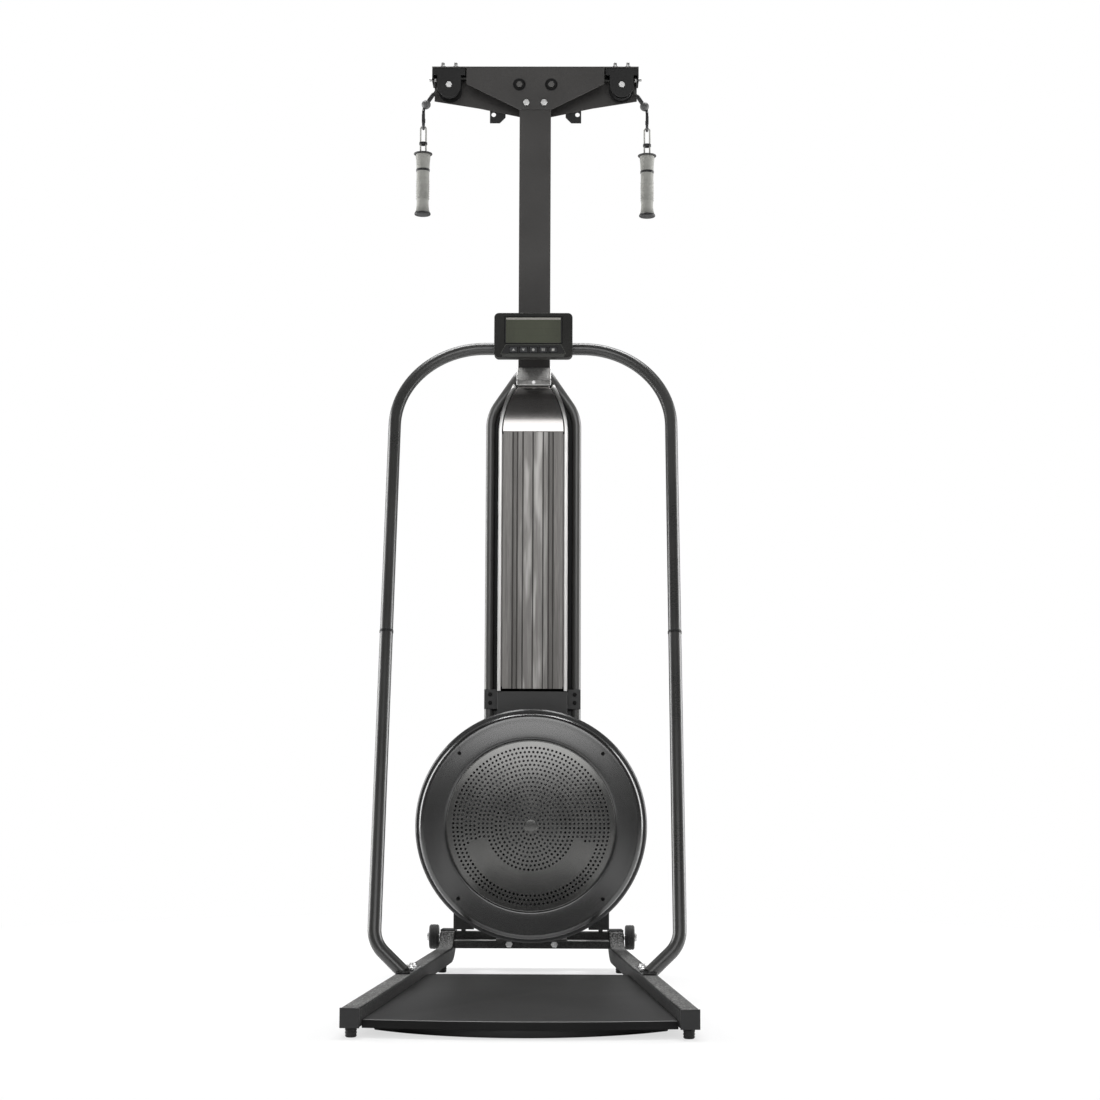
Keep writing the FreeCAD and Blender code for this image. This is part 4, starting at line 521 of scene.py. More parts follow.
def shown(name, mesh, finish, body, replaces=()):
    """Puts a finished mesh in the scene on its body, in the place of the solids that it stands for."""
    mesh.materials.clear()
    mesh.materials.append(finish)
    piece = linked(name, mesh)
    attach(piece, body)
    if replaces:
        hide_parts(*replaces)


def from_bmesh(name, bm, smooth=True):
    mesh = bpy.data.meshes.new(name)
    bm.to_mesh(mesh)
    bm.free()
    for face in mesh.polygons:
        face.use_smooth = smooth
    return mesh


def as_modified(name, holder):
    """A plain mesh of what an object's modifiers make."""
    bpy.context.view_layer.update()
    seen = holder.evaluated_get(bpy.context.evaluated_depsgraph_get())
    mesh = bpy.data.meshes.new_from_object(seen)
    mesh.name = name
    return mesh


def settled(name, mesh, *steps):
    """The mesh as the given modifiers leave it."""
    holder = linked(name, mesh)
    for kind, settings in steps:
        modifier = holder.modifiers.new(kind.lower(), kind)
        for label, value in settings.items():
            setattr(modifier, label, value)
    result = as_modified(name, holder)
    bpy.data.objects.remove(holder)
    return result


def eased(width, angle, segments=2):
    """Bevel and weighted normals that give a cut or moulded piece its small round edges."""
    bevel = {"width": width / 1000, "segments": segments, "limit_method": "ANGLE",
             "angle_limit": math.radians(angle), "use_clamp_overlap": False, "miter_outer": "MITER_ARC"}
    return ("BEVEL", bevel), ("WEIGHTED_NORMAL", {"weight": 60, "keep_sharp": False})


def outward(bm):
    bmesh.ops.recalc_face_normals(bm, faces=bm.faces)


def welded(bm, within=0.00001):
    bmesh.ops.remove_doubles(bm, verts=bm.verts, dist=within)


def crisp(name, bm, angle, finish, body, replaces=()):
    """A piece with smooth round faces, and a sharp edge where they turn by more than the angle."""
    outward(bm)
    mesh = from_bmesh(name, bm)
    mesh.set_sharp_from_angle(angle=math.radians(angle))
    shown(name, mesh, finish, body, replaces)


def softened(name, bm, edge, finish, body, replaces=()):
    """A piece whose edges are rounded by a width, above an angle, in a number of steps."""
    outward(bm)
    shown(name, settled(name, from_bmesh(name, bm), *eased(*edge)), finish, body, replaces)


def turned(name, profiles, angle, finish, body, slot, replaces=()):
    """A crisp piece of one or more profiles, each with what lathed() is told about it."""
    bm = bmesh.new()
    for profile in profiles:
        lathed(bm, *profile)
    welded(bm)
    crisp(name, bm, angle, finish, body, replaces)


def packed(node):
    """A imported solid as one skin, to be worked on again."""
    bm = bmesh.new()
    bm.from_mesh(NODES[node].data)
    welded(bm, 0.000002)
    return bm


def eased_solid(node, width, finish, slot, angle=50, body="frame", flatten=True):
    """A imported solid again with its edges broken."""
    bm = packed(node)
    if flatten:
        bmesh.ops.dissolve_limit(bm, angle_limit=math.radians(0.6), verts=bm.verts, edges=bm.edges)
    name = node + "_dressed"
    shown(name, settled(name, from_bmesh(node, bm), *eased(width, angle)), finish, body, (node,))


def crisp_solid(node, finish, angle):
    """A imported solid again, smooth over its round faces and crisp at its edges."""
    name = node + "_dressed"
    mesh = from_bmesh(node, packed(node))
    mesh.set_sharp_from_angle(angle=math.radians(angle))
    mesh = settled(name, mesh, ("WEIGHTED_NORMAL", {"weight": 90, "keep_sharp": True}))
    shown(name, mesh, finish, "frame", (node,))


def joined(bm, one, two, closed=True):
    """Quads between two rings or rows of points."""
    count = len(one)
    spans = range(count if closed else count - 1)
    return [bm.faces.new((one[j], one[(j + 1) % count], two[(j + 1) % count], two[j])) for j in spans]


def capped(bm, rings):
    bm.faces.new(list(reversed(rings[0])))
    bm.faces.new(rings[-1])


def skinned(bm, rings):
    """Quads between neighbouring closed rings, with both ends closed."""
    for one, two in zip(rings, rings[1:]):
        joined(bm, one, two)
    capped(bm, rings)


def lathed(bm, profile, centre, axis, steps, closed=False):
    """Turns (radius, along) points in millimetres about an axis through the centre."""
    along = {"x": ACROSS, "y": BACK, "z": UP}[axis]
    first = BACK if axis == "x" else ACROSS
    second = along.cross(first)
    rings = []
    for k in range(steps):
        turn = 2 * math.pi * k / steps
        out = first * math.cos(turn) + second * math.sin(turn)
        rings.append([bm.verts.new(centre + (out * r + along * a) / 1000) for r, a in profile])
    for k, ring in enumerate(rings):
        joined(bm, ring, rings[(k + 1) % steps], closed)
    return [point for ring in rings for point in ring]


def lathed_along(bm, profile, centre, ahead, steps):
    """A closed profile turned about any direction."""
    turn = ahead.to_track_quat("Z", "Y").to_matrix().to_4x4()
    made = lathed(bm, profile, Vector(), "z", steps, True)
    bmesh.ops.transform(bm, matrix=Matrix.Translation(centre) @ turn, verts=made)


def swept(bm, points, radius, sides, closed=False, uv=None):
    """A round tube along points in metres; a UV layer gets the length in metres and the way round."""
    count = len(points)
    tangents = []
    for k in range(count):
        before = points[(k - 1) % count] if closed or k > 0 else points[k]
        after = points[(k + 1) % count] if closed or k < count - 1 else points[k]
        tangents.append((after - before).normalized())
    side = tangents[0].orthogonal().normalized()
    turns = [2 * math.pi * j / sides for j in range(sides)]
    rings, lengths = [], [0.0]
    for point, tangent in zip(points, tangents):
        side = (side - tangent * side.dot(tangent)).normalized()
        other = tangent.cross(side)
        rings.append([bm.verts.new(point + (side * math.cos(a) + other * math.sin(a)) * radius)
                      for a in turns])
    for before, after in zip(points, points[1:]):
        lengths.append(lengths[-1] + (after - before).length)
    for k in range(count if closed else count - 1):
        for j, face in enumerate(joined(bm, rings[k], rings[(k + 1) % count])):
            if uv is not None:
                spots = ((k, j), (k, j + 1), (k + 1, j + 1), (k + 1, j))
                for loop, (run, turn) in zip(face.loops, spots):
                    loop[uv].uv = (lengths[run], turn / sides)
    if not closed:
        capped(bm, rings)


def tubes(runs, radius, sides):
    """Round tubes along runs of points, their radius in millimetres, with a UV map for their finish."""
    bm = bmesh.new()
    uv = bm.loops.layers.uv.new("run")
    for run in runs:
        swept(bm, run, radius / 1000, sides, uv=uv)
    return bm


def arc(centre, radius, start, end, across, steps):
    """Points of an upright arc, from a direction towards up, angles in degrees, the radius in millimetres."""
    turns = [math.radians(start + (end - start) * k / steps) for k in range(steps + 1)]
    return [centre + (across * math.cos(t) + UP * math.sin(t)) * (radius / 1000) for t in turns]


def rounded_outline(half_x, half_y, radius, steps=5):
    """Points once round a rectangle with rounded corners, in millimetres."""
    outline = []
    for quarter, (right, up) in enumerate(((1, 1), (-1, 1), (-1, -1), (1, -1))):
        for k in range(steps + 1):
            turn = math.radians(90 * quarter) + math.radians(90 * k / steps)
            outline.append(((half_x - radius) * right + radius * math.cos(turn),
                            (half_y - radius) * up + radius * math.sin(turn)))
    return outline


def rounded_run(corners, radii, steps=12):
    """Points along straight runs whose inner corners are rounded to radii in millimetres."""
    points = [corners[0]]
    for before, corner, after, radius in zip(corners, corners[1:], corners[2:], radii):
        back = (before - corner).normalized()
        ahead = (after - corner).normalized()
        half = back.angle(ahead) / 2
        reach = radius / 1000 / math.tan(half)
        middle = corner + (back + ahead).normalized() * (radius / 1000 / math.sin(half))
        start = corner + back * reach - middle
        end = corner + ahead * reach - middle
        axis = start.cross(end).normalized()
        sweep = start.angle(end)
        points += [middle + Matrix.Rotation(sweep * k / steps, 3, axis) @ start for k in range(steps + 1)]
    return points + [corners[-1]]


# Geometry Nodes: what repeats


class Garden:
    """A Geometry Nodes tree with named sizes in metres, grown on guide points."""

    def __init__(self, name, **sizes):
        self.tree = bpy.data.node_groups.new(name, "GeometryNodeTree")
        self.sizes = {}
        self.tree.interface.new_socket("Guide", in_out="INPUT", socket_type="NodeSocketGeometry")
        for label, value in sizes.items():
            made = self.tree.interface.new_socket(label, in_out="INPUT", socket_type="NodeSocketFloat")
            made.default_value = value
            self.sizes[made.identifier] = value
        self.tree.interface.new_socket("Grown", in_out="OUTPUT", socket_type="NodeSocketGeometry")
        self.inlet = self.tree.nodes.new("NodeGroupInput")
        self.outlet = self.tree.nodes.new("NodeGroupOutput")

    def given(self, label):
        return self.inlet.outputs[label]

    def node(self, kind, settings=None, **feeds):
        made = self.tree.nodes.new(kind)
        for label, value in (settings or {}).items():
            setattr(made, label, value)
        for label, value in feeds.items():
            socket = made.inputs[label.replace("_", " ")]
            if isinstance(value, bpy.types.NodeSocket):
                self.tree.links.new(value, socket)
            else:
                socket.default_value = value
        return made.outputs[0]

    def planted(self, instance, finish):
        """The instance on every guide point, turned as the point says."""
        turn = self.node("GeometryNodeInputNamedAttribute", {"data_type": "FLOAT_VECTOR"}, Name="turn")
        turn = self.node("FunctionNodeEulerToRotation", Euler=turn)
        grown_all = self.node("GeometryNodeInstanceOnPoints", Points=self.given("Guide"), Instance=instance,
                              Rotation=turn)
        real = self.node("GeometryNodeRealizeInstances", Geometry=grown_all)
        dressed = self.node("GeometryNodeSetMaterial", Geometry=real, Material=finish)
        self.tree.links.new(dressed, self.outlet.inputs[0])


def grown(name, garden, places, smooth=True):
    """What the tree makes on places in metres, each with its turn (Euler angles), as a plain mesh."""
    guide = bpy.data.meshes.new(name + " places")
    guide.from_pydata([place for place, turn in places], [], [])
    layer = guide.attributes.new("turn", "FLOAT_VECTOR", "POINT")
    for k, (place, turn) in enumerate(places):
        layer.data[k].vector = turn
    holder = linked(name, guide)
    modifier = holder.modifiers.new("garden", "NODES")
    modifier.node_group = garden.tree
    for identifier, value in garden.sizes.items():
        modifier[identifier] = value
    mesh = as_modified(name, holder)
    holder.modifiers.remove(modifier)
    bpy.data.objects.remove(holder)
    for face in mesh.polygons:
        face.use_smooth = smooth
    return mesh


def facing(direction):
    """Euler angles that turn +Z to a direction."""
    return tuple(direction.to_track_quat("Z", "Y").to_euler())


# Rails, feet and foot plate


def rail_centre_x(y):
    return RAIL_FRONT_X - y * math.tan(SPLAY) + RAIL_HALF / math.cos(SPLAY)


def beside_rail(side, x, y, z):
    """A place given beside the rail's own inner front corner, turned out with it."""
    turned_x = x * math.cos(SPLAY) + y * math.sin(SPLAY) - RAIL_FRONT_X
    turned_y = y * math.cos(SPLAY) - x * math.sin(SPLAY)
    return at(-side * turned_x, turned_y, z)


def dress_rails():
    """Two square tubes, straight as far as the bend and then turning up in a short arc."""
    for side, word in SIDES:
        bm = bmesh.new()
        upper = bm.verts.layers.float.new("upper_side")
        rings = []
        for run in [0.0, 0.35, 0.7, 1.0] + [1 + k / 12 for k in range(1, 13)]:
            ring = []
            for u, v in rounded_outline(RAIL_HALF, RAIL_HALF, 4.2, 4):
                if run <= 1:
                    y, z = 4 + (RAIL_BEND_Y - 4) * run, 34.5 + v
                else:
                    reach = 67.5 - v
                    turn = (run - 1) * math.acos(16 / reach)
                    y, z = RAIL_BEND_Y + reach * math.sin(turn), 102 - reach * math.cos(turn)
                ring.append(bm.verts.new(beside_rail(side, u - RAIL_HALF, y, z)))
                ring[-1][upper] = 1.0 if v > 16.5 else 0.0
            rings.append(ring)
        skinned(bm, rings)
        outward(bm)
        mesh = settled("rail", from_bmesh("rail", bm), ("WEIGHTED_NORMAL", {"weight": 60}))
        shown(word + "_rail_tube", mesh, charcoal_coat, "frame", (word + "_rail",))


def dress_feet():
    bm = bmesh.new()
    profile = [(0.0, 0.0), (8.2, 0.0), (10.2, 1.8), (10.2, 4.2), (9.5, 5.0), (9.5, 5.8), (10.4, 6.6),
               (10.4, 9.4), (9.5, 10.2), (9.5, 11.0), (10.4, 11.8), (10.4, 15.6), (9.8, 17.0), (0.0, 17.0)]
    for y in (20.0, 1095.0):
        for side in (-1, 1):
            lathed(bm, profile, at(side * rail_centre_x(y), y, 0), "z", 40)
    welded(bm)
    softened("rubber_feet_ribbed", bm, (0.25, 30, 1), foot_rubber, "frame", ("rubber_feet",))


def deck_edge(front_y, bow_y, rear_y, inset, steps=48):
    """Outline of the foot plate or its tray: a bowed front between straight splayed sides."""
    front_half, rear_half = (rail_centre_x(y) - RAIL_HALF / math.cos(SPLAY) - 0.2 - inset
                             for y in (front_y, rear_y))
    drop = front_y - bow_y
    radius = (front_half ** 2 + drop ** 2) / (2 * drop)
    reach = math.asin(front_half / radius)
    turns = [reach * (2 * k / steps - 1) for k in range(steps + 1)]
    bow = [(radius * math.sin(t), bow_y + radius * (1 - math.cos(t))) for t in turns]
    return bow + [(rear_half, rear_y), (-rear_half, rear_y)]


def slab(outline, layers):
    """A flat board from stacked outlines, each drawn in by its own amount in millimetres."""
    bm = bmesh.new()
    upper = bm.verts.layers.float.new("upper_side")
    rings = []
    for z, inset in layers:
        ring = []
        for k, (x, y) in enumerate(outline):
            back, ahead = outline[k - 1], outline[(k + 1) % len(outline)]
            along = Vector((ahead[0] - back[0], ahead[1] - back[1])).normalized()
            ring.append(bm.verts.new(at(x - along.y * inset, y + along.x * inset, z)))
            ring[-1][upper] = 1.0 if z > 29.6 else 0.0
        rings.append(ring)
    skinned(bm, rings)
    return bm


def dress_deck():
    board = [(15.0, 0.8), (15.8, 0.1), (16.6, 0.0), (26.6, 0.0), (27.8, 0.25), (28.9, 0.9), (29.7, 1.9),
             (30.0, 3.2)]
    crisp("foot_plate_board", slab(deck_edge(25.0, 1.0, 778.0, 0.0), board), 30, deck_black, "frame",
          ("foot_plate",))
    tray = [(1.0, 2.4), (1.6, 1.0), (3.0, 0.3), (4.6, 0.0), (14.6, 0.0)]
    crisp("foot_plate_underside", slab(deck_edge(107.0, 4.0, 771.0, 7.0), tray), 30, tray_black, "frame",
          ("foot_plate_tray",))


# Hoop and column, bent from round tube


def hoop_at(x, z):
    return at(x, 577 + (z - 52) * 508 / 1392, z)


def dress_hoop():
    for side, word in SIDES:
        foot = hoop_at(side * rail_centre_x(577), 52)
        elbow = hoop_at(side * 312.5, 111)
        leg = rounded_run([foot + (elbow - foot) * 0.02, elbow, hoop_at(side * SPLICE_X, SPLICE_Z)], [68])
        crisp(word + "_hoop_tube", tubes([leg], HOOP_RADIUS, 28), 50, hoop_satin, "frame",
              (word + "_hoop_leg",))
        bm = bmesh.new()
        corners = ((-33, 552), (-2, 552), (-2, 694), (-33, 694))
        skinned(bm, [[bm.verts.new(beside_rail(side, x, y, z)) for x, y in corners] for z in (52, 57)])
        outward(bm)
        uprights = [e for e in bm.edges if abs(e.verts[0].co.z - e.verts[1].co.z) > 0.004]
        bmesh.ops.bevel(bm, geom=uprights, offset=0.006, segments=5, affect="EDGES", profile=0.5)
        softened(word + "_hoop_foot", bm, (0.7, 40), black_satin, "frame")
    corner = {side: hoop_at(side * 320, 1444) for side in (-1, 1)}
    start = {side: hoop_at(side * SPLICE_X, SPLICE_Z + 0.2) for side in (-1, 1)}
    arch = rounded_run([start[-1], corner[-1], corner[1], start[1]], [205, 205], 28)
    crisp("hoop_arch_tube", tubes([arch], HOOP_RADIUS, 32), 50, hoop_satin, "frame",
          ("hoop_arch",))
    bm = bmesh.new()
    collar = [(14.35, -3.0), (14.9, -3.0), (15.3, -2.2), (15.3, 2.2), (14.9, 3.0), (14.35, 3.0)]
    for side in (-1, 1):
        ahead = (corner[side] - start[side]).normalized()
        lathed_along(bm, collar, hoop_at(side * SPLICE_X, SPLICE_Z), ahead, 40)
    crisp("hoop_splice_collars", bm, 50, tray_black, "frame", ("hoop_splice_rings",))


def dress_column_tubes():
    """Two upright tubes that lean together at the top, cut off along the saddle."""
    lean = math.radians(34.5)
    corner_z = 1262 + 95 * math.tan(lean / 2)
    top_z = 1408.0
    runs = []
    for side in (-1, 1):
        top_x = side * (101.5 - (top_z - corner_z) * math.tan(lean))
        corners = [at(side * 101.5, 1120, 548), at(side * 101.5, 1120, corner_z), at(top_x, 1120, top_z)]
        runs.append(rounded_run(corners, [95]))
    bm = tubes(runs, 10.5, 26)
    up_front = Vector((0, -36, 34)).normalized()
    everything = list(bm.verts) + list(bm.edges) + list(bm.faces)
    cut = bmesh.ops.bisect_plane(bm, geom=everything, plane_co=at(0, 1097, 1373) - up_front * 0.0032,
                                 plane_no=up_front, clear_outer=True)
    rims = [e for e in cut["geom_cut"] if isinstance(e, bmesh.types.BMEdge)]
    bmesh.ops.edgeloop_fill(bm, edges=rims)
    crisp("column_tubes", bm, 50, column_satin, "frame", ("column_frame",))


# Mast, head and the other cut and folded pieces


def dress_solids():
    for solid in (("mast", 1.6, mast_coat, "charcoal_coat"),
                  ("rail_end_caps", 0.5, hard_plastic, "black_plastic", 40),
                  ("front_cross_tube", 1.6, tube_coat, "charcoal_coat"),
                  ("mast_saddle", 0.8, galvanised, "galvanised"),
                  ("hoop_clamp", 0.8, black_satin, "black_satin"),
                  ("column_housing", 0.8, housing_black, "black_satin"),
                  ("ribbed_panel", 0.5, panel_metal, "grey_panel"),
                  ("neck_block", 1.0, neck_black, "black_satin"),
                  ("fan_mount_brackets", 0.8, black_satin, "black_satin"),
                  ("cover_screws", 0.4, screw_black, "bright_steel"),
                  ("head_front_plate", 0.7, mast_coat, "charcoal_coat"),
                  ("head_rear_plate", 0.7, mast_coat, "charcoal_coat"),
                  ("head_top_plate", 0.7, mast_coat, "charcoal_coat"),
                  ("pulley_brackets", 0.7, bracket_coat, "charcoal_coat"),
                  ("wall_lugs", 0.8, bracket_coat, "charcoal_coat"),
                  ("pulley_axles", 0.5, axle_steel, "bright_steel"),
                  ("recoil_case", 0.8, hard_plastic, "black_plastic")):
        eased_solid(*solid)
    for pulley in ("left_end_pulley", "right_end_pulley", "left_inner_pulley", "right_inner_pulley"):
        eased_solid(pulley, 0.5, hard_plastic, "black_plastic", 35, pulley)
    for side, word in SIDES:
        eased_solid(word + "_cord_drum", 0.3, hard_plastic, "black_plastic", 35, word + "_drum")
    eased_solid("console_case", 0.6, case_black, "gloss_black", 50, "console", False)
    crisp_solid("fan_rear_shell", shell_plastic, 24)
    crisp_solid("rear_cross_tube", tube_coat, 3)


def dress_windows():
    """Dark liners in the two round windows of the head, in front of the inner pulleys' axles."""
    liner = [(7.4, 1130.9), (14.3, 1130.9), (14.3, 1127.9), (15.3, 1127.6), (15.3, 1127.1), (14.2, 1126.9),
             (13.4, 1127.6), (12.7, 1129.6), (11.6, 1130.4), (7.4, 1130.5)]
    liners = [(liner, at(x, 0, PULLEY_Z), "y", 48, True) for x in (-INNER_PULLEY_X, INNER_PULLEY_X)]
    turned("head_window_liners", liners, 40, tray_black, "frame", "black_plastic")


# Hood and trims, which follow the shoulder of the housing


def circle_through(one, two, three):
    (ax, ay), (bx, by), (cx, cy) = one, two, three
    d = 2 * (ax * (by - cy) + bx * (cy - ay) + cx * (ay - by))
    squares = [x * x + y * y for x, y in (one, two, three)]
    ux = (squares[0] * (by - cy) + squares[1] * (cy - ay) + squares[2] * (ay - by)) / d
    uy = (squares[0] * (cx - bx) + squares[1] * (ax - cx) + squares[2] * (bx - ax)) / d
    return ux, uy, math.hypot(ax - ux, ay - uy)


def shoulder_half(z, inset):
    """Half the housing's width at a height on its shoulder, drawn in by an inset."""
    if z <= SHOULDER_Z:
        return 80.5 - inset
    points = ((80.5 - inset, SHOULDER_Z), (71.5 - inset, 1304), (46 - inset, 1367 - inset))
    mid_x, mid_z, radius = circle_through(*points)
    return mid_x + math.sqrt(max(radius ** 2 - (z - mid_z) ** 2, 0))


def shoulder_y(z, front):
    return front + SHOULDER_R - math.sqrt(SHOULDER_R ** 2 - max(z - SHOULDER_Z, 0) ** 2)


def dress_hood():
    bm = bmesh.new()
    grid = []
    for z in [SHOULDER_Z + 114.8 * k / 36 for k in range(37)]:
        half = shoulder_half(z, 9.5)
        grid.append([bm.verts.new(at(half * (j / 8 - 1), shoulder_y(z, 1068), z)) for j in range(17)])
    for low, high in zip(grid, grid[1:]):
        joined(bm, low, high, False)
    mesh = settled("hood", from_bmesh("hood", bm),
                   ("SOLIDIFY", {"thickness": 0.0035, "offset": -1.0}), *eased(0.9, 50, 3))
    shown("hood_shell", mesh, hood_chrome, "frame", ("top_hood",))


def dress_trims():
    bm = bmesh.new()
    half_depth, behind = 1.95, 1.25
    for side in (-1, 1):
        rings = []
        for z in [641.0, 850.0, 1050.0] + [SHOULDER_Z + 118 * k / 30 for k in range(31)]:
            outer = shoulder_half(z, 0)
            inner = shoulder_half(z, 8) if z < 1358.9 else max(outer - 6, 40.2)
            tilt = math.asin(min(max(z - SHOULDER_Z, 0) / SHOULDER_R, 1))
            middle = at(side * (outer + inner) / 2, shoulder_y(z, 1069.3) + behind * math.cos(tilt),
                        z - behind * math.sin(tilt))
            outline = rounded_outline((outer - inner) / 2, half_depth, 0.6, 2)
            rings.append([bm.verts.new(middle + Vector((u, v * math.cos(tilt), -v * math.sin(tilt))) / 1000)
                          for u, v in outline])
        skinned(bm, rings)
    crisp("column_trims", bm, 60, trim_metal, "frame", ("side_trims",))


# Fan casing front


def dome_y(radius):
    return 987.7 - 14.0 * (1 - (radius / 194) ** 2)


def dress_front_ring():
    profile = [(253.0, 1009.8), (253.0, 999.6), (252.0, 999.2), (251.8, 998.2), (252.6, 997.6)]
    profile += [(240.5 + 12.0 * math.sin(math.radians(a)), 998.6 - 11.6 * math.cos(math.radians(a)))
                for a in range(80, 0, -8)]
    profile += [(238.0, 986.9), (229.0, 986.0), (219.0, 985.1), (209.0, 984.2), (199.0, 983.4),
                (195.4, 983.3), (192.6, 983.9), (191.0, 985.2), (190.2, 987.2), (189.5, 989.0),
                (192.5, 989.0), (196.0, 987.6), (236.0, 989.5), (244.0, 991.4), (248.6, 995.6),
                (250.5, 999.0), (250.5, 1009.8)]
    turned("fan_ring_moulding", [(profile, at(0, 0, FAN_Z), "y", 160, True)], 60, ring_plastic, "frame",
           "grey_plastic", ("fan_front_ring",))


def dress_grille():
    """The domed disc: rings of square cells, each round a hole but for a plain band at the bottom."""
    bm = bmesh.new()

    def spot(radius, degrees):
        turn = math.radians(degrees)
        return bm.verts.new(at(radius * math.cos(turn), dome_y(radius), FAN_Z + radius * math.sin(turn)))

    pitch, half_cell, bore = 9.6, 4.85, 2.9
    share = math.sqrt(0.5)
    hole = [(-share, -share), (-1, 0), (-share, share), (0, 1), (share, share), (1, 0), (share, -share),
            (0, -1)]
    middle = 20.8
    while middle < 181.5:
        count = round(2 * math.pi * middle / pitch)
        step = 360 / count
        low, high = middle - half_cell, middle + half_cell
        sideways = math.degrees(bore / middle)
        for k in range(count):
            mid = (k + 0.5) * step
            one, two = mid - step / 2, mid + step / 2
            rim = [(low, one), (low, mid), (low, two), (middle, two), (high, two), (high, mid), (high, one),
                   (middle, one)]
            outer = [spot(r, a) for r, a in rim]
            if 101 < middle < 150 and 196 < mid < 344:
                bm.faces.new(outer)
            else:
                joined(bm, outer, [spot(middle + bore * u, mid + sideways * v) for u, v in hole])
        middle += pitch
    for low, high, count in ((0.01, 16.1, 48), (179.1, 186.0, 160), (186.0, 193.8, 160)):
        for k in range(count):
            one, two = 360 * k / count, 360 * (k + 1) / count
            bm.faces.new((spot(low, one), spot(low, two), spot(high, two), spot(high, one)))
    welded(bm, 0.00002)
    for face in bm.faces:
        face.normal_update()
        if face.normal.y > 0:
            face.normal_flip()
    mesh = settled("disc", from_bmesh("disc", bm), ("SOLIDIFY", {"thickness": 0.0016, "offset": -1.0}))
    mesh.set_sharp_from_angle(angle=math.radians(35))
    shown("fan_disc_domed", mesh, disc_black, "frame", ("fan_grille",))
    front = dome_y(0)
    hub = [(0.0, front - 0.9), (12.6, front - 0.9), (14.2, front - 0.6), (15.0, front + 0.3),
           (0.0, front + 0.3)]
    rim = [(188.6, 987.0), (189.4, 986.4), (190.6, 986.4), (191.4, 987.0), (191.4, 988.2), (188.6, 988.2)]
    profiles = [(hub, at(0, 0, FAN_Z), "y", 48), (rim, at(0, 0, FAN_Z), "y", 160, True)]
    turned("fan_disc_hub", profiles, 60, disc_black, "frame", "black_satin")


def dress_bolts():
    """The bright bolts, apart from the dark ones that hold the neck to the column tubes."""
    for name, dark, finish, slot in (("bright_bolts", False, bolt_steel, "bright_steel"),
                                     ("dark_neck_bolts", True, screw_black, "black_satin")):
        bm = packed("frame_bolts")
        others = [v for v in bm.verts if (0.59 < v.co.z < 0.65 and abs(v.co.x) < 0.11) != dark]
        bmesh.ops.delete(bm, geom=others, context="VERTS")
        mesh = settled(name, from_bmesh(name, bm), *eased(0.7, 50))
        shown(name, mesh, finish, "frame", () if dark else ("frame_bolts",))


def dress_wheels():
    tyre = [(17.5, 0.0), (24.5, 0.0), (27.0, 1.2), (28.2, 3.6), (28.5, 6.2), (27.7, 6.6), (27.7, 7.6),
            (28.5, 8.0), (28.5, 14.0), (27.7, 14.4), (27.7, 15.4), (28.5, 15.8), (28.2, 18.4), (27.0, 20.8),
            (24.5, 22.0), (17.5, 22.0), (16.8, 20.5), (16.2, 17.2), (10.8, 16.4), (10.2, 21.4), (6.1, 22.0),
            (6.1, 0.0), (10.2, 0.6), (10.8, 5.6), (16.2, 4.8), (16.8, 1.5)]
    for side, word in SIDES:
        profile = [(r, side * (217 + a)) for r, a in tyre]
        turned(word + "_wheel_tyre", [(profile, at(0, 1190, 72), "x", 64, True)], 40, foot_rubber,
               word + "_wheel", "black_plastic", (word + "_wheel",))


# Console


def plate_piece(name, box, radius, front_y, depth, edge, finish, replaces=()):
    """A flat plate of the console seen from the front; the box is its left, right, bottom and top."""
    left, right, bottom, top = box
    outline = [(u + (left + right) / 2, v + (bottom + top) / 2)
               for u, v in rounded_outline((right - left) / 2, (top - bottom) / 2, radius)]
    bm = bmesh.new()
    skinned(bm, [[bm.verts.new(at(x, y, z)) for x, z in outline] for y in (front_y, front_y + depth)])
    softened(name, bm, (edge, 40), finish, "console", replaces)


def dress_console():
    plate_piece("console_screen_lens", (-67, 67, 1443, 1507), 2.5, 1018, 2, 0.6, screen_lens,
                ("console_lens",))
    plate_piece("console_light_strip", (-63.4, 63.4, 1499.6, 1504.2), 1.2, 1017.7, 0.5, 0.15, strip_silver)
    plate_piece("console_lower_lip", (-72, 72, 1411.6, 1418.0), 1.4, 1017.0, 1.4, 0.5, case_lip)
    cap = ((1024.6, 9, 6, 3), (1017.4, 9, 6, 3), (1016.7, 8.5, 5.5, 2.7), (1016.6, 7.6, 4.6, 2.2))
    disc = [(3.2 * math.cos(math.radians(a)), 3.2 * math.sin(math.radians(a))) for a in range(0, 360, 20)]
    marks = ([[(-3.4, -2.2), (3.4, -2.2), (0.0, 3.2)]],
             [[(-3.4, 2.2), (0.0, -3.2), (3.4, 2.2)]],
             [disc],
             [[(-3.2, -3), (-0.9, -3), (-0.9, 3), (-3.2, 3)], [(0.9, -3), (3.2, -3), (3.2, 3), (0.9, 3)]],
             [[(-3, -2.8), (3, -2.8), (3, 2.8), (-3, 2.8)]])
    for k, shapes in enumerate(marks):
        x = (k - 2) * 23
        body = "button_%d" % (k + 1)
        bm = bmesh.new()
        skinned(bm, [[bm.verts.new(at(x + u, y, KEY_Z + w)) for u, w in rounded_outline(half, rise, radius)]
                     for y, half, rise, radius in cap])
        crisp("key_cap_%d" % (k + 1), bm, 60, key_rubber, body, (body,))
        bm = bmesh.new()
        for shape in shapes:
            skinned(bm, [[bm.verts.new(at(x + u, y, KEY_Z + w)) for u, w in shape]
                         for y in (1016.45, 1016.62)])
        outward(bm)
        shown("key_mark_%d" % (k + 1), from_bmesh("mark", bm, False), mark_white, body)


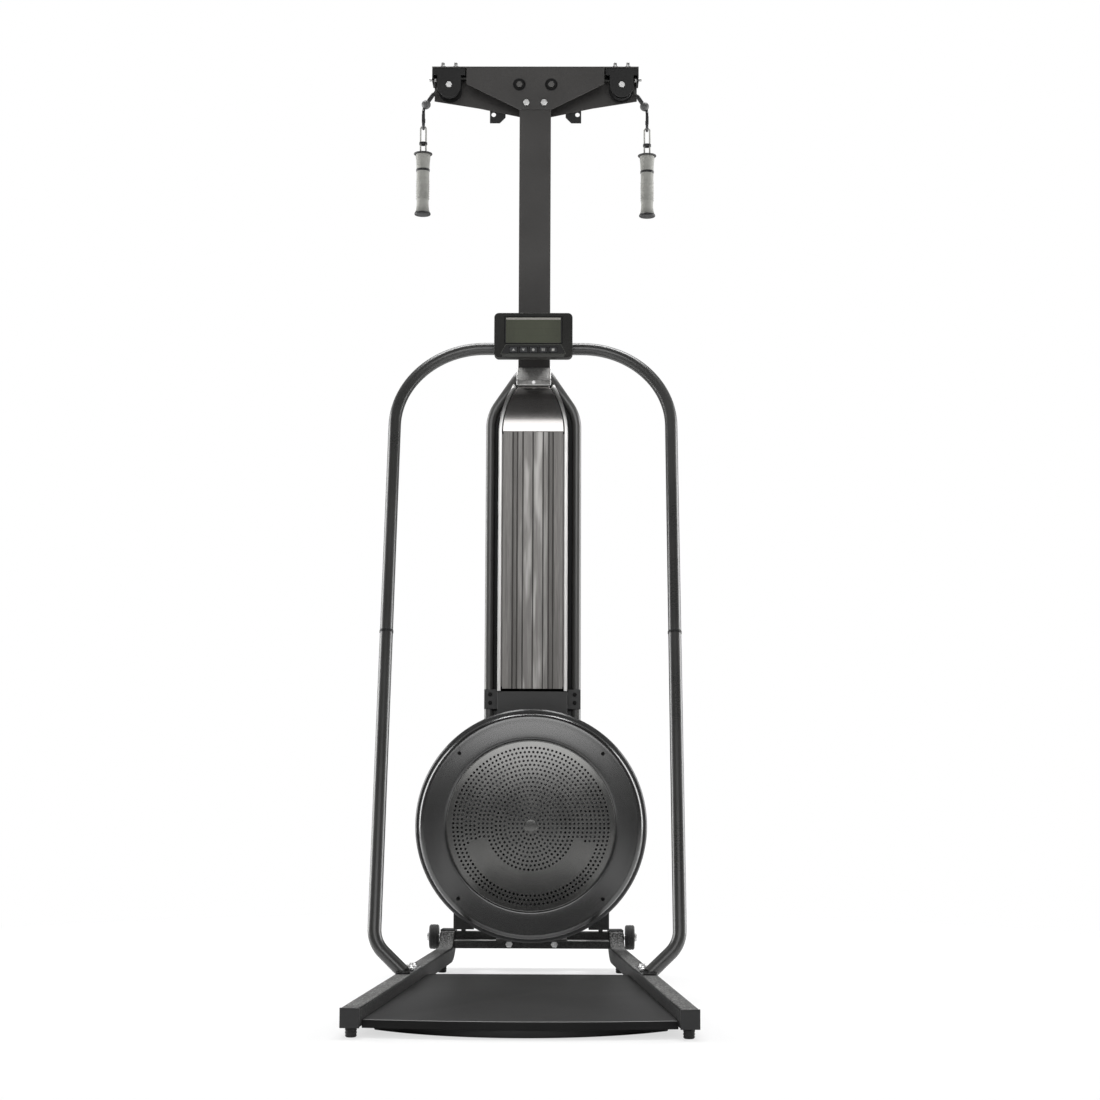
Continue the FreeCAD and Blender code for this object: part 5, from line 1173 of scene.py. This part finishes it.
def dress_console_back():
    garden = Garden("vent slots", Length=0.026, Height=0.0022, Depth=0.0012)
    size = garden.node("ShaderNodeCombineXYZ", X=garden.given("Length"), Y=garden.given("Height"),
                       Z=garden.given("Depth"))
    garden.planted(garden.node("GeometryNodeMeshCube", Size=size), key_rubber)
    places = [(at(x, 1050.2, 1428 + 5 * k), facing(BACK)) for k in range(4) for x in (-52, 52)]
    shown("console_vents", grown("vents", garden, places, False), key_rubber, "console")
    garden = Garden("case screws", Head=0.0032, Height=0.0014, Socket=0.0014)
    head = garden.node("GeometryNodeMeshCylinder", Vertices=20, Radius=garden.given("Head"),
                       Depth=garden.given("Height"))
    bit = garden.node("GeometryNodeMeshCylinder", Vertices=6, Radius=garden.given("Socket"),
                      Depth=garden.given("Height"))
    bit = garden.node("GeometryNodeTransform", Geometry=bit, Translation=(0, 0, 0.0006))
    garden.planted(garden.node("GeometryNodeMeshBoolean", Mesh_1=head, Mesh_2=bit), screw_black)
    places = [(at(x, 1050.5, z), facing(BACK)) for x in (-80, 80) for z in (1422, 1505)]
    shown("console_case_screws", grown("screws", garden, places, False), screw_black, "console")


# Cords, hooks and grips


def cord_y(side):
    return 1156 + side * 7


def cord_leaves(side):
    """Where a cord leaves its end pulley, and its direction from there."""
    across, down = BALL_X - END_PULLEY_X, BALL_Z - PULLEY_Z
    turn = math.atan2(down, across) + math.acos(PULLEY_CORD_R / math.hypot(across, down))
    place = at(side * (END_PULLEY_X + PULLEY_CORD_R * math.cos(turn)), cord_y(side),
               PULLEY_Z + PULLEY_CORD_R * math.sin(turn))
    return place, Vector((side * math.sin(turn), 0, -math.cos(turn)))


def drum_run(side):
    """Where the drive cord leaves its drum, and the angle at which it meets its inner pulley."""
    across, up = side * INNER_PULLEY_X, PULLEY_Z - FAN_Z
    reach = (DRUM_CORD_R + side * PULLEY_CORD_R) / math.hypot(across, up)
    angle = math.atan2(up, across) - math.acos(reach)
    low = at(DRUM_CORD_R * math.cos(angle), cord_y(side), FAN_Z + DRUM_CORD_R * math.sin(angle))
    return low, angle if side < 0 else angle + math.pi


def dress_cords():
    runs = []
    for side in (-1, 1):
        low, meets = drum_run(side)
        middle, end = (at(side * x, cord_y(side), PULLEY_Z) for x in (INNER_PULLEY_X, END_PULLEY_X))
        start = math.degrees(meets) % 360
        if start > 180 and side > 0:
            start -= 360
        off = cord_leaves(side)[0] - end
        stop = math.degrees(math.atan2(off.z, off.x)) % 360
        runs.append([low] + arc(middle, PULLEY_CORD_R, start, 90, ACROSS, 10)
                    + arc(end, PULLEY_CORD_R, 90, stop, ACROSS, 6))
    crisp("drive_cord_braid", tubes(runs, 2.5, 12), 50, cord_braid, "frame", ("drive_cords",))
    for side, word in SIDES:
        leave, ahead = cord_leaves(side)
        stretch = (at(side * BALL_X, cord_y(side), BALL_Z) - leave).length - 0.008
        bm = tubes([[leave + ahead * (stretch * k / 24) for k in range(25)]], 2.5, 14)
        outward(bm)
        piece = linked(word + "_cord_braid", from_bmesh("cord", bm))
        piece.data.materials.append(cord_braid)
        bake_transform(piece)
        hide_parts(word + "_cord")


def dress_hangers():
    stopper = [(0.0, 11.0), (2.9, 10.9), (3.4, 10.2), (5.6, 9.5), (8.4, 7.1), (10.3, 4.0), (10.95, 0.9),
               (10.5, 0.45)]
    stopper += [(r, -a) for r, a in reversed(stopper)]
    sheath = [(2.7, -10.0), (4.6, -10.0), (4.9, -11.0), (4.9, -30.0), (4.4, -32.0), (3.9, -33.0),
              (2.7, -33.4)]
    for side, word in SIDES:
        y = cord_y(side)
        ball = at(side * BALL_X, y, BALL_Z)
        turned(word + "_stopper_ball", [(stopper, ball, "z", 40)], 50, ball_grey, word + "_pull",
               "black_plastic")
        bm = bmesh.new()
        lathed_along(bm, sheath, ball, cord_leaves(side)[1], 28)
        crisp(word + "_cord_sheath", bm, 50, band_black, word + "_pull")
        x = side * HOOK_X
        bm = bmesh.new()
        loop = arc(at(x, y, 2033), 9, 0, 180, BACK, 12) + arc(at(x, y, 2006), 9, 180, 360, BACK, 12)
        swept(bm, loop, 0.003, 14, True)
        swept(bm, [at(x, y, 2040), at(x - side * 1.2, y, 2049)], 0.0034, 14)
        swept(bm, [at(x, y - 9, 2010), at(x, y - 9, 2030)], 0.0036, 14)
        swept(bm, [at(x, y + 9, 2015), at(x, y + 9, 2024)], 0.0039, 18)
        crisp(word + "_snap_hook", bm, 50, hook_black, word + "_pull", (word + "_hanger",))


def dress_grips():
    sleeve = [(0.0, 149.0), (17.4, 149.0), (17.9, 147.6), (17.8, 144.0), (17.2, 139.0), (16.4, 131.0),
              (15.9, 122.0), (15.6, 112.0), (15.4, 104.0), (15.3, 92.0), (15.6, 78.0), (15.7, 68.0),
              (15.4, 54.0), (14.8, 42.0), (14.4, 31.0), (14.6, 22.0), (15.6, 14.0), (16.6, 9.4), (17.8, 6.4),
              (0.0, 6.4)]
    band = [(15.0, 106.5), (16.0, 107.0), (16.4, 108.0), (16.4, 111.4), (16.1, 112.4), (15.0, 113.0)]
    cap = [(0.0, 148.6), (20.4, 148.6), (21.9, 149.3), (22.3, 150.6), (21.8, 151.8), (19.6, 152.6),
           (9.0, 153.6), (8.2, 155.4), (0.0, 155.6)]
    foot = [(0.0, 6.6), (17.6, 6.6), (18.7, 5.4), (19.5, 3.2), (19.3, 1.2), (18.2, 0.1), (0.0, 0.0)]
    keeper = [(7.6, -3.0), (9.4, -3.0), (9.8, -2.0), (9.8, 2.0), (9.4, 3.0), (7.6, 3.0)]
    for side, word in SIDES:
        x, y, body = side * HOOK_X, cord_y(side), word + "_handle"
        base = at(x, y, GRIP_Z)
        turned(word + "_grip_sleeve", [(sleeve, base, "z", 56)], 60, grip_rubber, body, "grip_rubber",
               (word + "_grip",))
        garden = Garden("grip ribs", Ring=0.0154, Bead=0.0007)
        ring = garden.node("GeometryNodeCurvePrimitiveCircle", Resolution=40, Radius=garden.given("Ring"))
        bead = garden.node("GeometryNodeCurvePrimitiveCircle", Resolution=6, Radius=garden.given("Bead"))
        garden.planted(garden.node("GeometryNodeCurveToMesh", Curve=ring, Profile_Curve=bead), grip_rubber)
        places = [(at(x, y, GRIP_Z + 40 + 6.0 * k), UNTURNED) for k in range(8)]
        shown(word + "_grip_ribs", grown("ribs", garden, places), grip_rubber, body)
        bands = [(band, base, "z", 48, True), (cap, base, "z", 48), (foot, base, "z", 48)]
        turned(word + "_grip_bands", bands, 50, band_black, body, "black_plastic")
        strap = [at(x - 6.5, y, 1938), at(x - 6.5, y, 1965)] + arc(at(x, y, 1996.1), 6.5, 180, 0, ACROSS, 12)
        bm = tubes([strap + [at(x + 6.5, y, 1965), at(x + 6.5, y, 1938)]], 2, 12)
        outward(bm)
        shown(word + "_strap_loop", from_bmesh("strap", bm), strap_web, body)
        turned(word + "_strap_keeper", [(keeper, at(x, y, 1960), "z", 32, True)], 50, band_black, body,
               "black_plastic")


# Washers, welds and the rolled edges of the saddle


def dress_washers():
    garden = Garden("washers", Outer=0.0108, Bore=0.005, Thickness=0.0014)
    disc = garden.node("GeometryNodeMeshCylinder", Vertices=36, Radius=garden.given("Outer"),
                       Depth=garden.given("Thickness"))
    drill = garden.node("GeometryNodeMeshCylinder", Vertices=24, Radius=garden.given("Bore"), Depth=0.01)
    garden.planted(garden.node("GeometryNodeMeshBoolean", Mesh_1=disc, Mesh_2=drill), bolt_steel)
    places = []
    for side in (-1, 1):
        places.append((at(side * 68, 1171, 73.2), facing(UP)))
        places.append((at(side * 21.3, 1184.8, 2054), facing(BACK)))
        for y in (628, 668):
            places.append((at(side * rail_centre_x(y), y, 57.8), facing(UP)))
    mesh = settled("washers", grown("washers", garden, places, False), *eased(0.25, 40, 1))
    shown("bolt_washers", mesh, bolt_steel, "frame")


def dress_welds():
    garden = Garden("weld scales", Bead=0.0021)
    scale = garden.node("GeometryNodeMeshIcoSphere", Radius=garden.given("Bead"), Subdivisions=2)
    scale = garden.node("GeometryNodeTransform", Geometry=scale, Scale=(0.8, 1.25, 0.8))
    garden.planted(scale, charcoal_coat)
    places = [(at(-35 + 70 * k / 27, y, 72.9), UNTURNED) for y in (1131, 1181) for k in range(28)]
    for side in (-1, 1):
        for k in range(18):
            places.append((at(side * 37.5, 1134 + 44 * k / 17, 72.9), (0.0, 0.0, math.pi / 2)))
        foot = hoop_at(side * rail_centre_x(577), 57)
        for k in range(34):
            turn = 2 * math.pi * k / 34
            place = foot + Vector((math.cos(turn) * 0.0172, math.sin(turn) * 0.0152, 0.0002))
            places.append((place, (0.0, 0.0, turn)))
    shown("weld_seams", grown("welds", garden, places), charcoal_coat, "frame")


def dress_saddle_edges():
    runs = []
    for side in (-1, 1):
        x = side * 39.3
        runs.append(rounded_run([at(x, 1096.6, 1360.6), at(x, 1096.6, 1373), at(x, 1130.2, 1409.4)], [4]))
    runs.append([at(-39, 1096.4, 1361.0), at(39, 1096.4, 1361.0)])
    # the rolled edges' paler zinc is a painted highlight
    crisp("saddle_rolled_edges", tubes(runs, 1.0, 10), 50, edge_zinc_highlight, "frame")


dress_rails()
dress_feet()
dress_deck()
dress_hoop()
dress_column_tubes()
dress_solids()
dress_windows()
dress_hood()
dress_trims()
dress_front_ring()
dress_grille()
dress_bolts()
dress_wheels()
dress_console()
dress_console_back()
dress_cords()
dress_hangers()
dress_grips()
dress_washers()
dress_welds()
dress_saddle_edges()


# Camera, floor and light


def aim(yaw, pitch, roll):
    ahead = Vector((math.sin(yaw) * math.cos(pitch), math.cos(yaw) * math.cos(pitch), math.sin(pitch)))
    level = Vector((math.cos(yaw), -math.sin(yaw), 0))
    above = level.cross(ahead)
    right = level * math.cos(roll) + above * math.sin(roll)
    top = above * math.cos(roll) - level * math.sin(roll)
    return Matrix((right, top, -ahead)).transposed().to_4x4()


def add_camera():
    lens = bpy.data.cameras.new("front camera")
    lens.sensor_width = 36
    lens.lens = 2004.104 / 1100 * 36
    lens.clip_end = 60
    SCENE.camera = linked("front camera", lens)
    place = at(82.686, -3553.546, 484.38)
    SCENE.camera.matrix_world = Matrix.Translation(place) @ aim(-0.00924, 0.1041, 0.00362)


def add_lamp(name, place, width, height, power, towards):
    lamp = bpy.data.lights.new(name, "AREA")
    lamp.shape = "RECTANGLE"
    lamp.size = width
    lamp.size_y = height
    lamp.energy = power
    made = linked(name, lamp)
    made.location = place
    made.rotation_euler = (Vector(towards) - Vector(place)).to_track_quat("-Z", "Y").to_euler()


def white_room():
    """White where the camera sees it; to the object a plain light, with a paler band low round about."""
    SCENE.world = bpy.data.worlds.new("studio")
    room = Graph(SCENE.world)
    room.tree.nodes.clear()

    def blended(share, first, second):
        return room.node("ShaderNodeMix", {}, {0: share, 2: first, 3: second})[0]

    camera, glossy, through = room.rays("Camera", "Glossy", "Transmission")
    y, z = room.parts(room.node("ShaderNodeTexCoord")[0])[1:]
    mirrored = blended(y.ranged(0.0, 0.45, 0.0, 1.0), z.ranged(0.5, 0.56, 0.14, 0.05), 0.3)
    level = blended(camera.greater(through), blended(glossy, 0.4, mirrored), 1.0)
    sky = room.node("ShaderNodeBackground", {}, {"Color": (1, 1, 1), "Strength": level})[0]
    room.node("ShaderNodeOutputWorld", {}, {"Surface": sky})


def add_floor():
    f = Finish("white studio floor", Base_Color=grey(0.86), Roughness=0.55)
    x, y = f.parts(f.place())[:2]
    spread = (x * x + y * y).above(3.0, 2.2)
    seen = f.rays("Camera")[0]
    glow = f.node("ShaderNodeEmission", {}, {"Color": (1, 1, 1)})[0]
    plain = Wire(f, f.shader.outputs[0])
    both = f.node("ShaderNodeMixShader", {}, {0: seen * (spread * 0.35 + 0.65), 1: plain, 2: glow})[0]
    f.tree.links.new(both.socket, next(n for n in f.tree.nodes if n.type == "OUTPUT_MATERIAL").inputs[0])
    mesh = bpy.data.meshes.new("studio floor")
    mesh.from_pydata([(-14, -14, 0), (14, -14, 0), (14, 14, 0), (-14, 14, 0)], [], [(0, 1, 2, 3)])
    mesh.materials.append(f.material)
    floor = linked("studio_floor", mesh)
    floor.location.z = -0.0004


add_camera()
white_room()
add_floor()
add_lamp("front softbox", (0.0, -4.4, 2.4), 3.4, 2.2, 72, (0, 0.46, 2.4))
add_lamp("left softbox", (-2.5, 1.2, 1.3), 1.6, 2.4, 75, (0, 1.0, 1.2))
add_lamp("right softbox", (2.5, 1.2, 1.3), 1.6, 2.4, 75, (0, 1.0, 1.2))
add_lamp("top softbox", (0, 1.0, 3.8), 2.4, 1.4, 110, (0, 0.6, 0))
SCENE.view_settings.view_transform = "Standard"
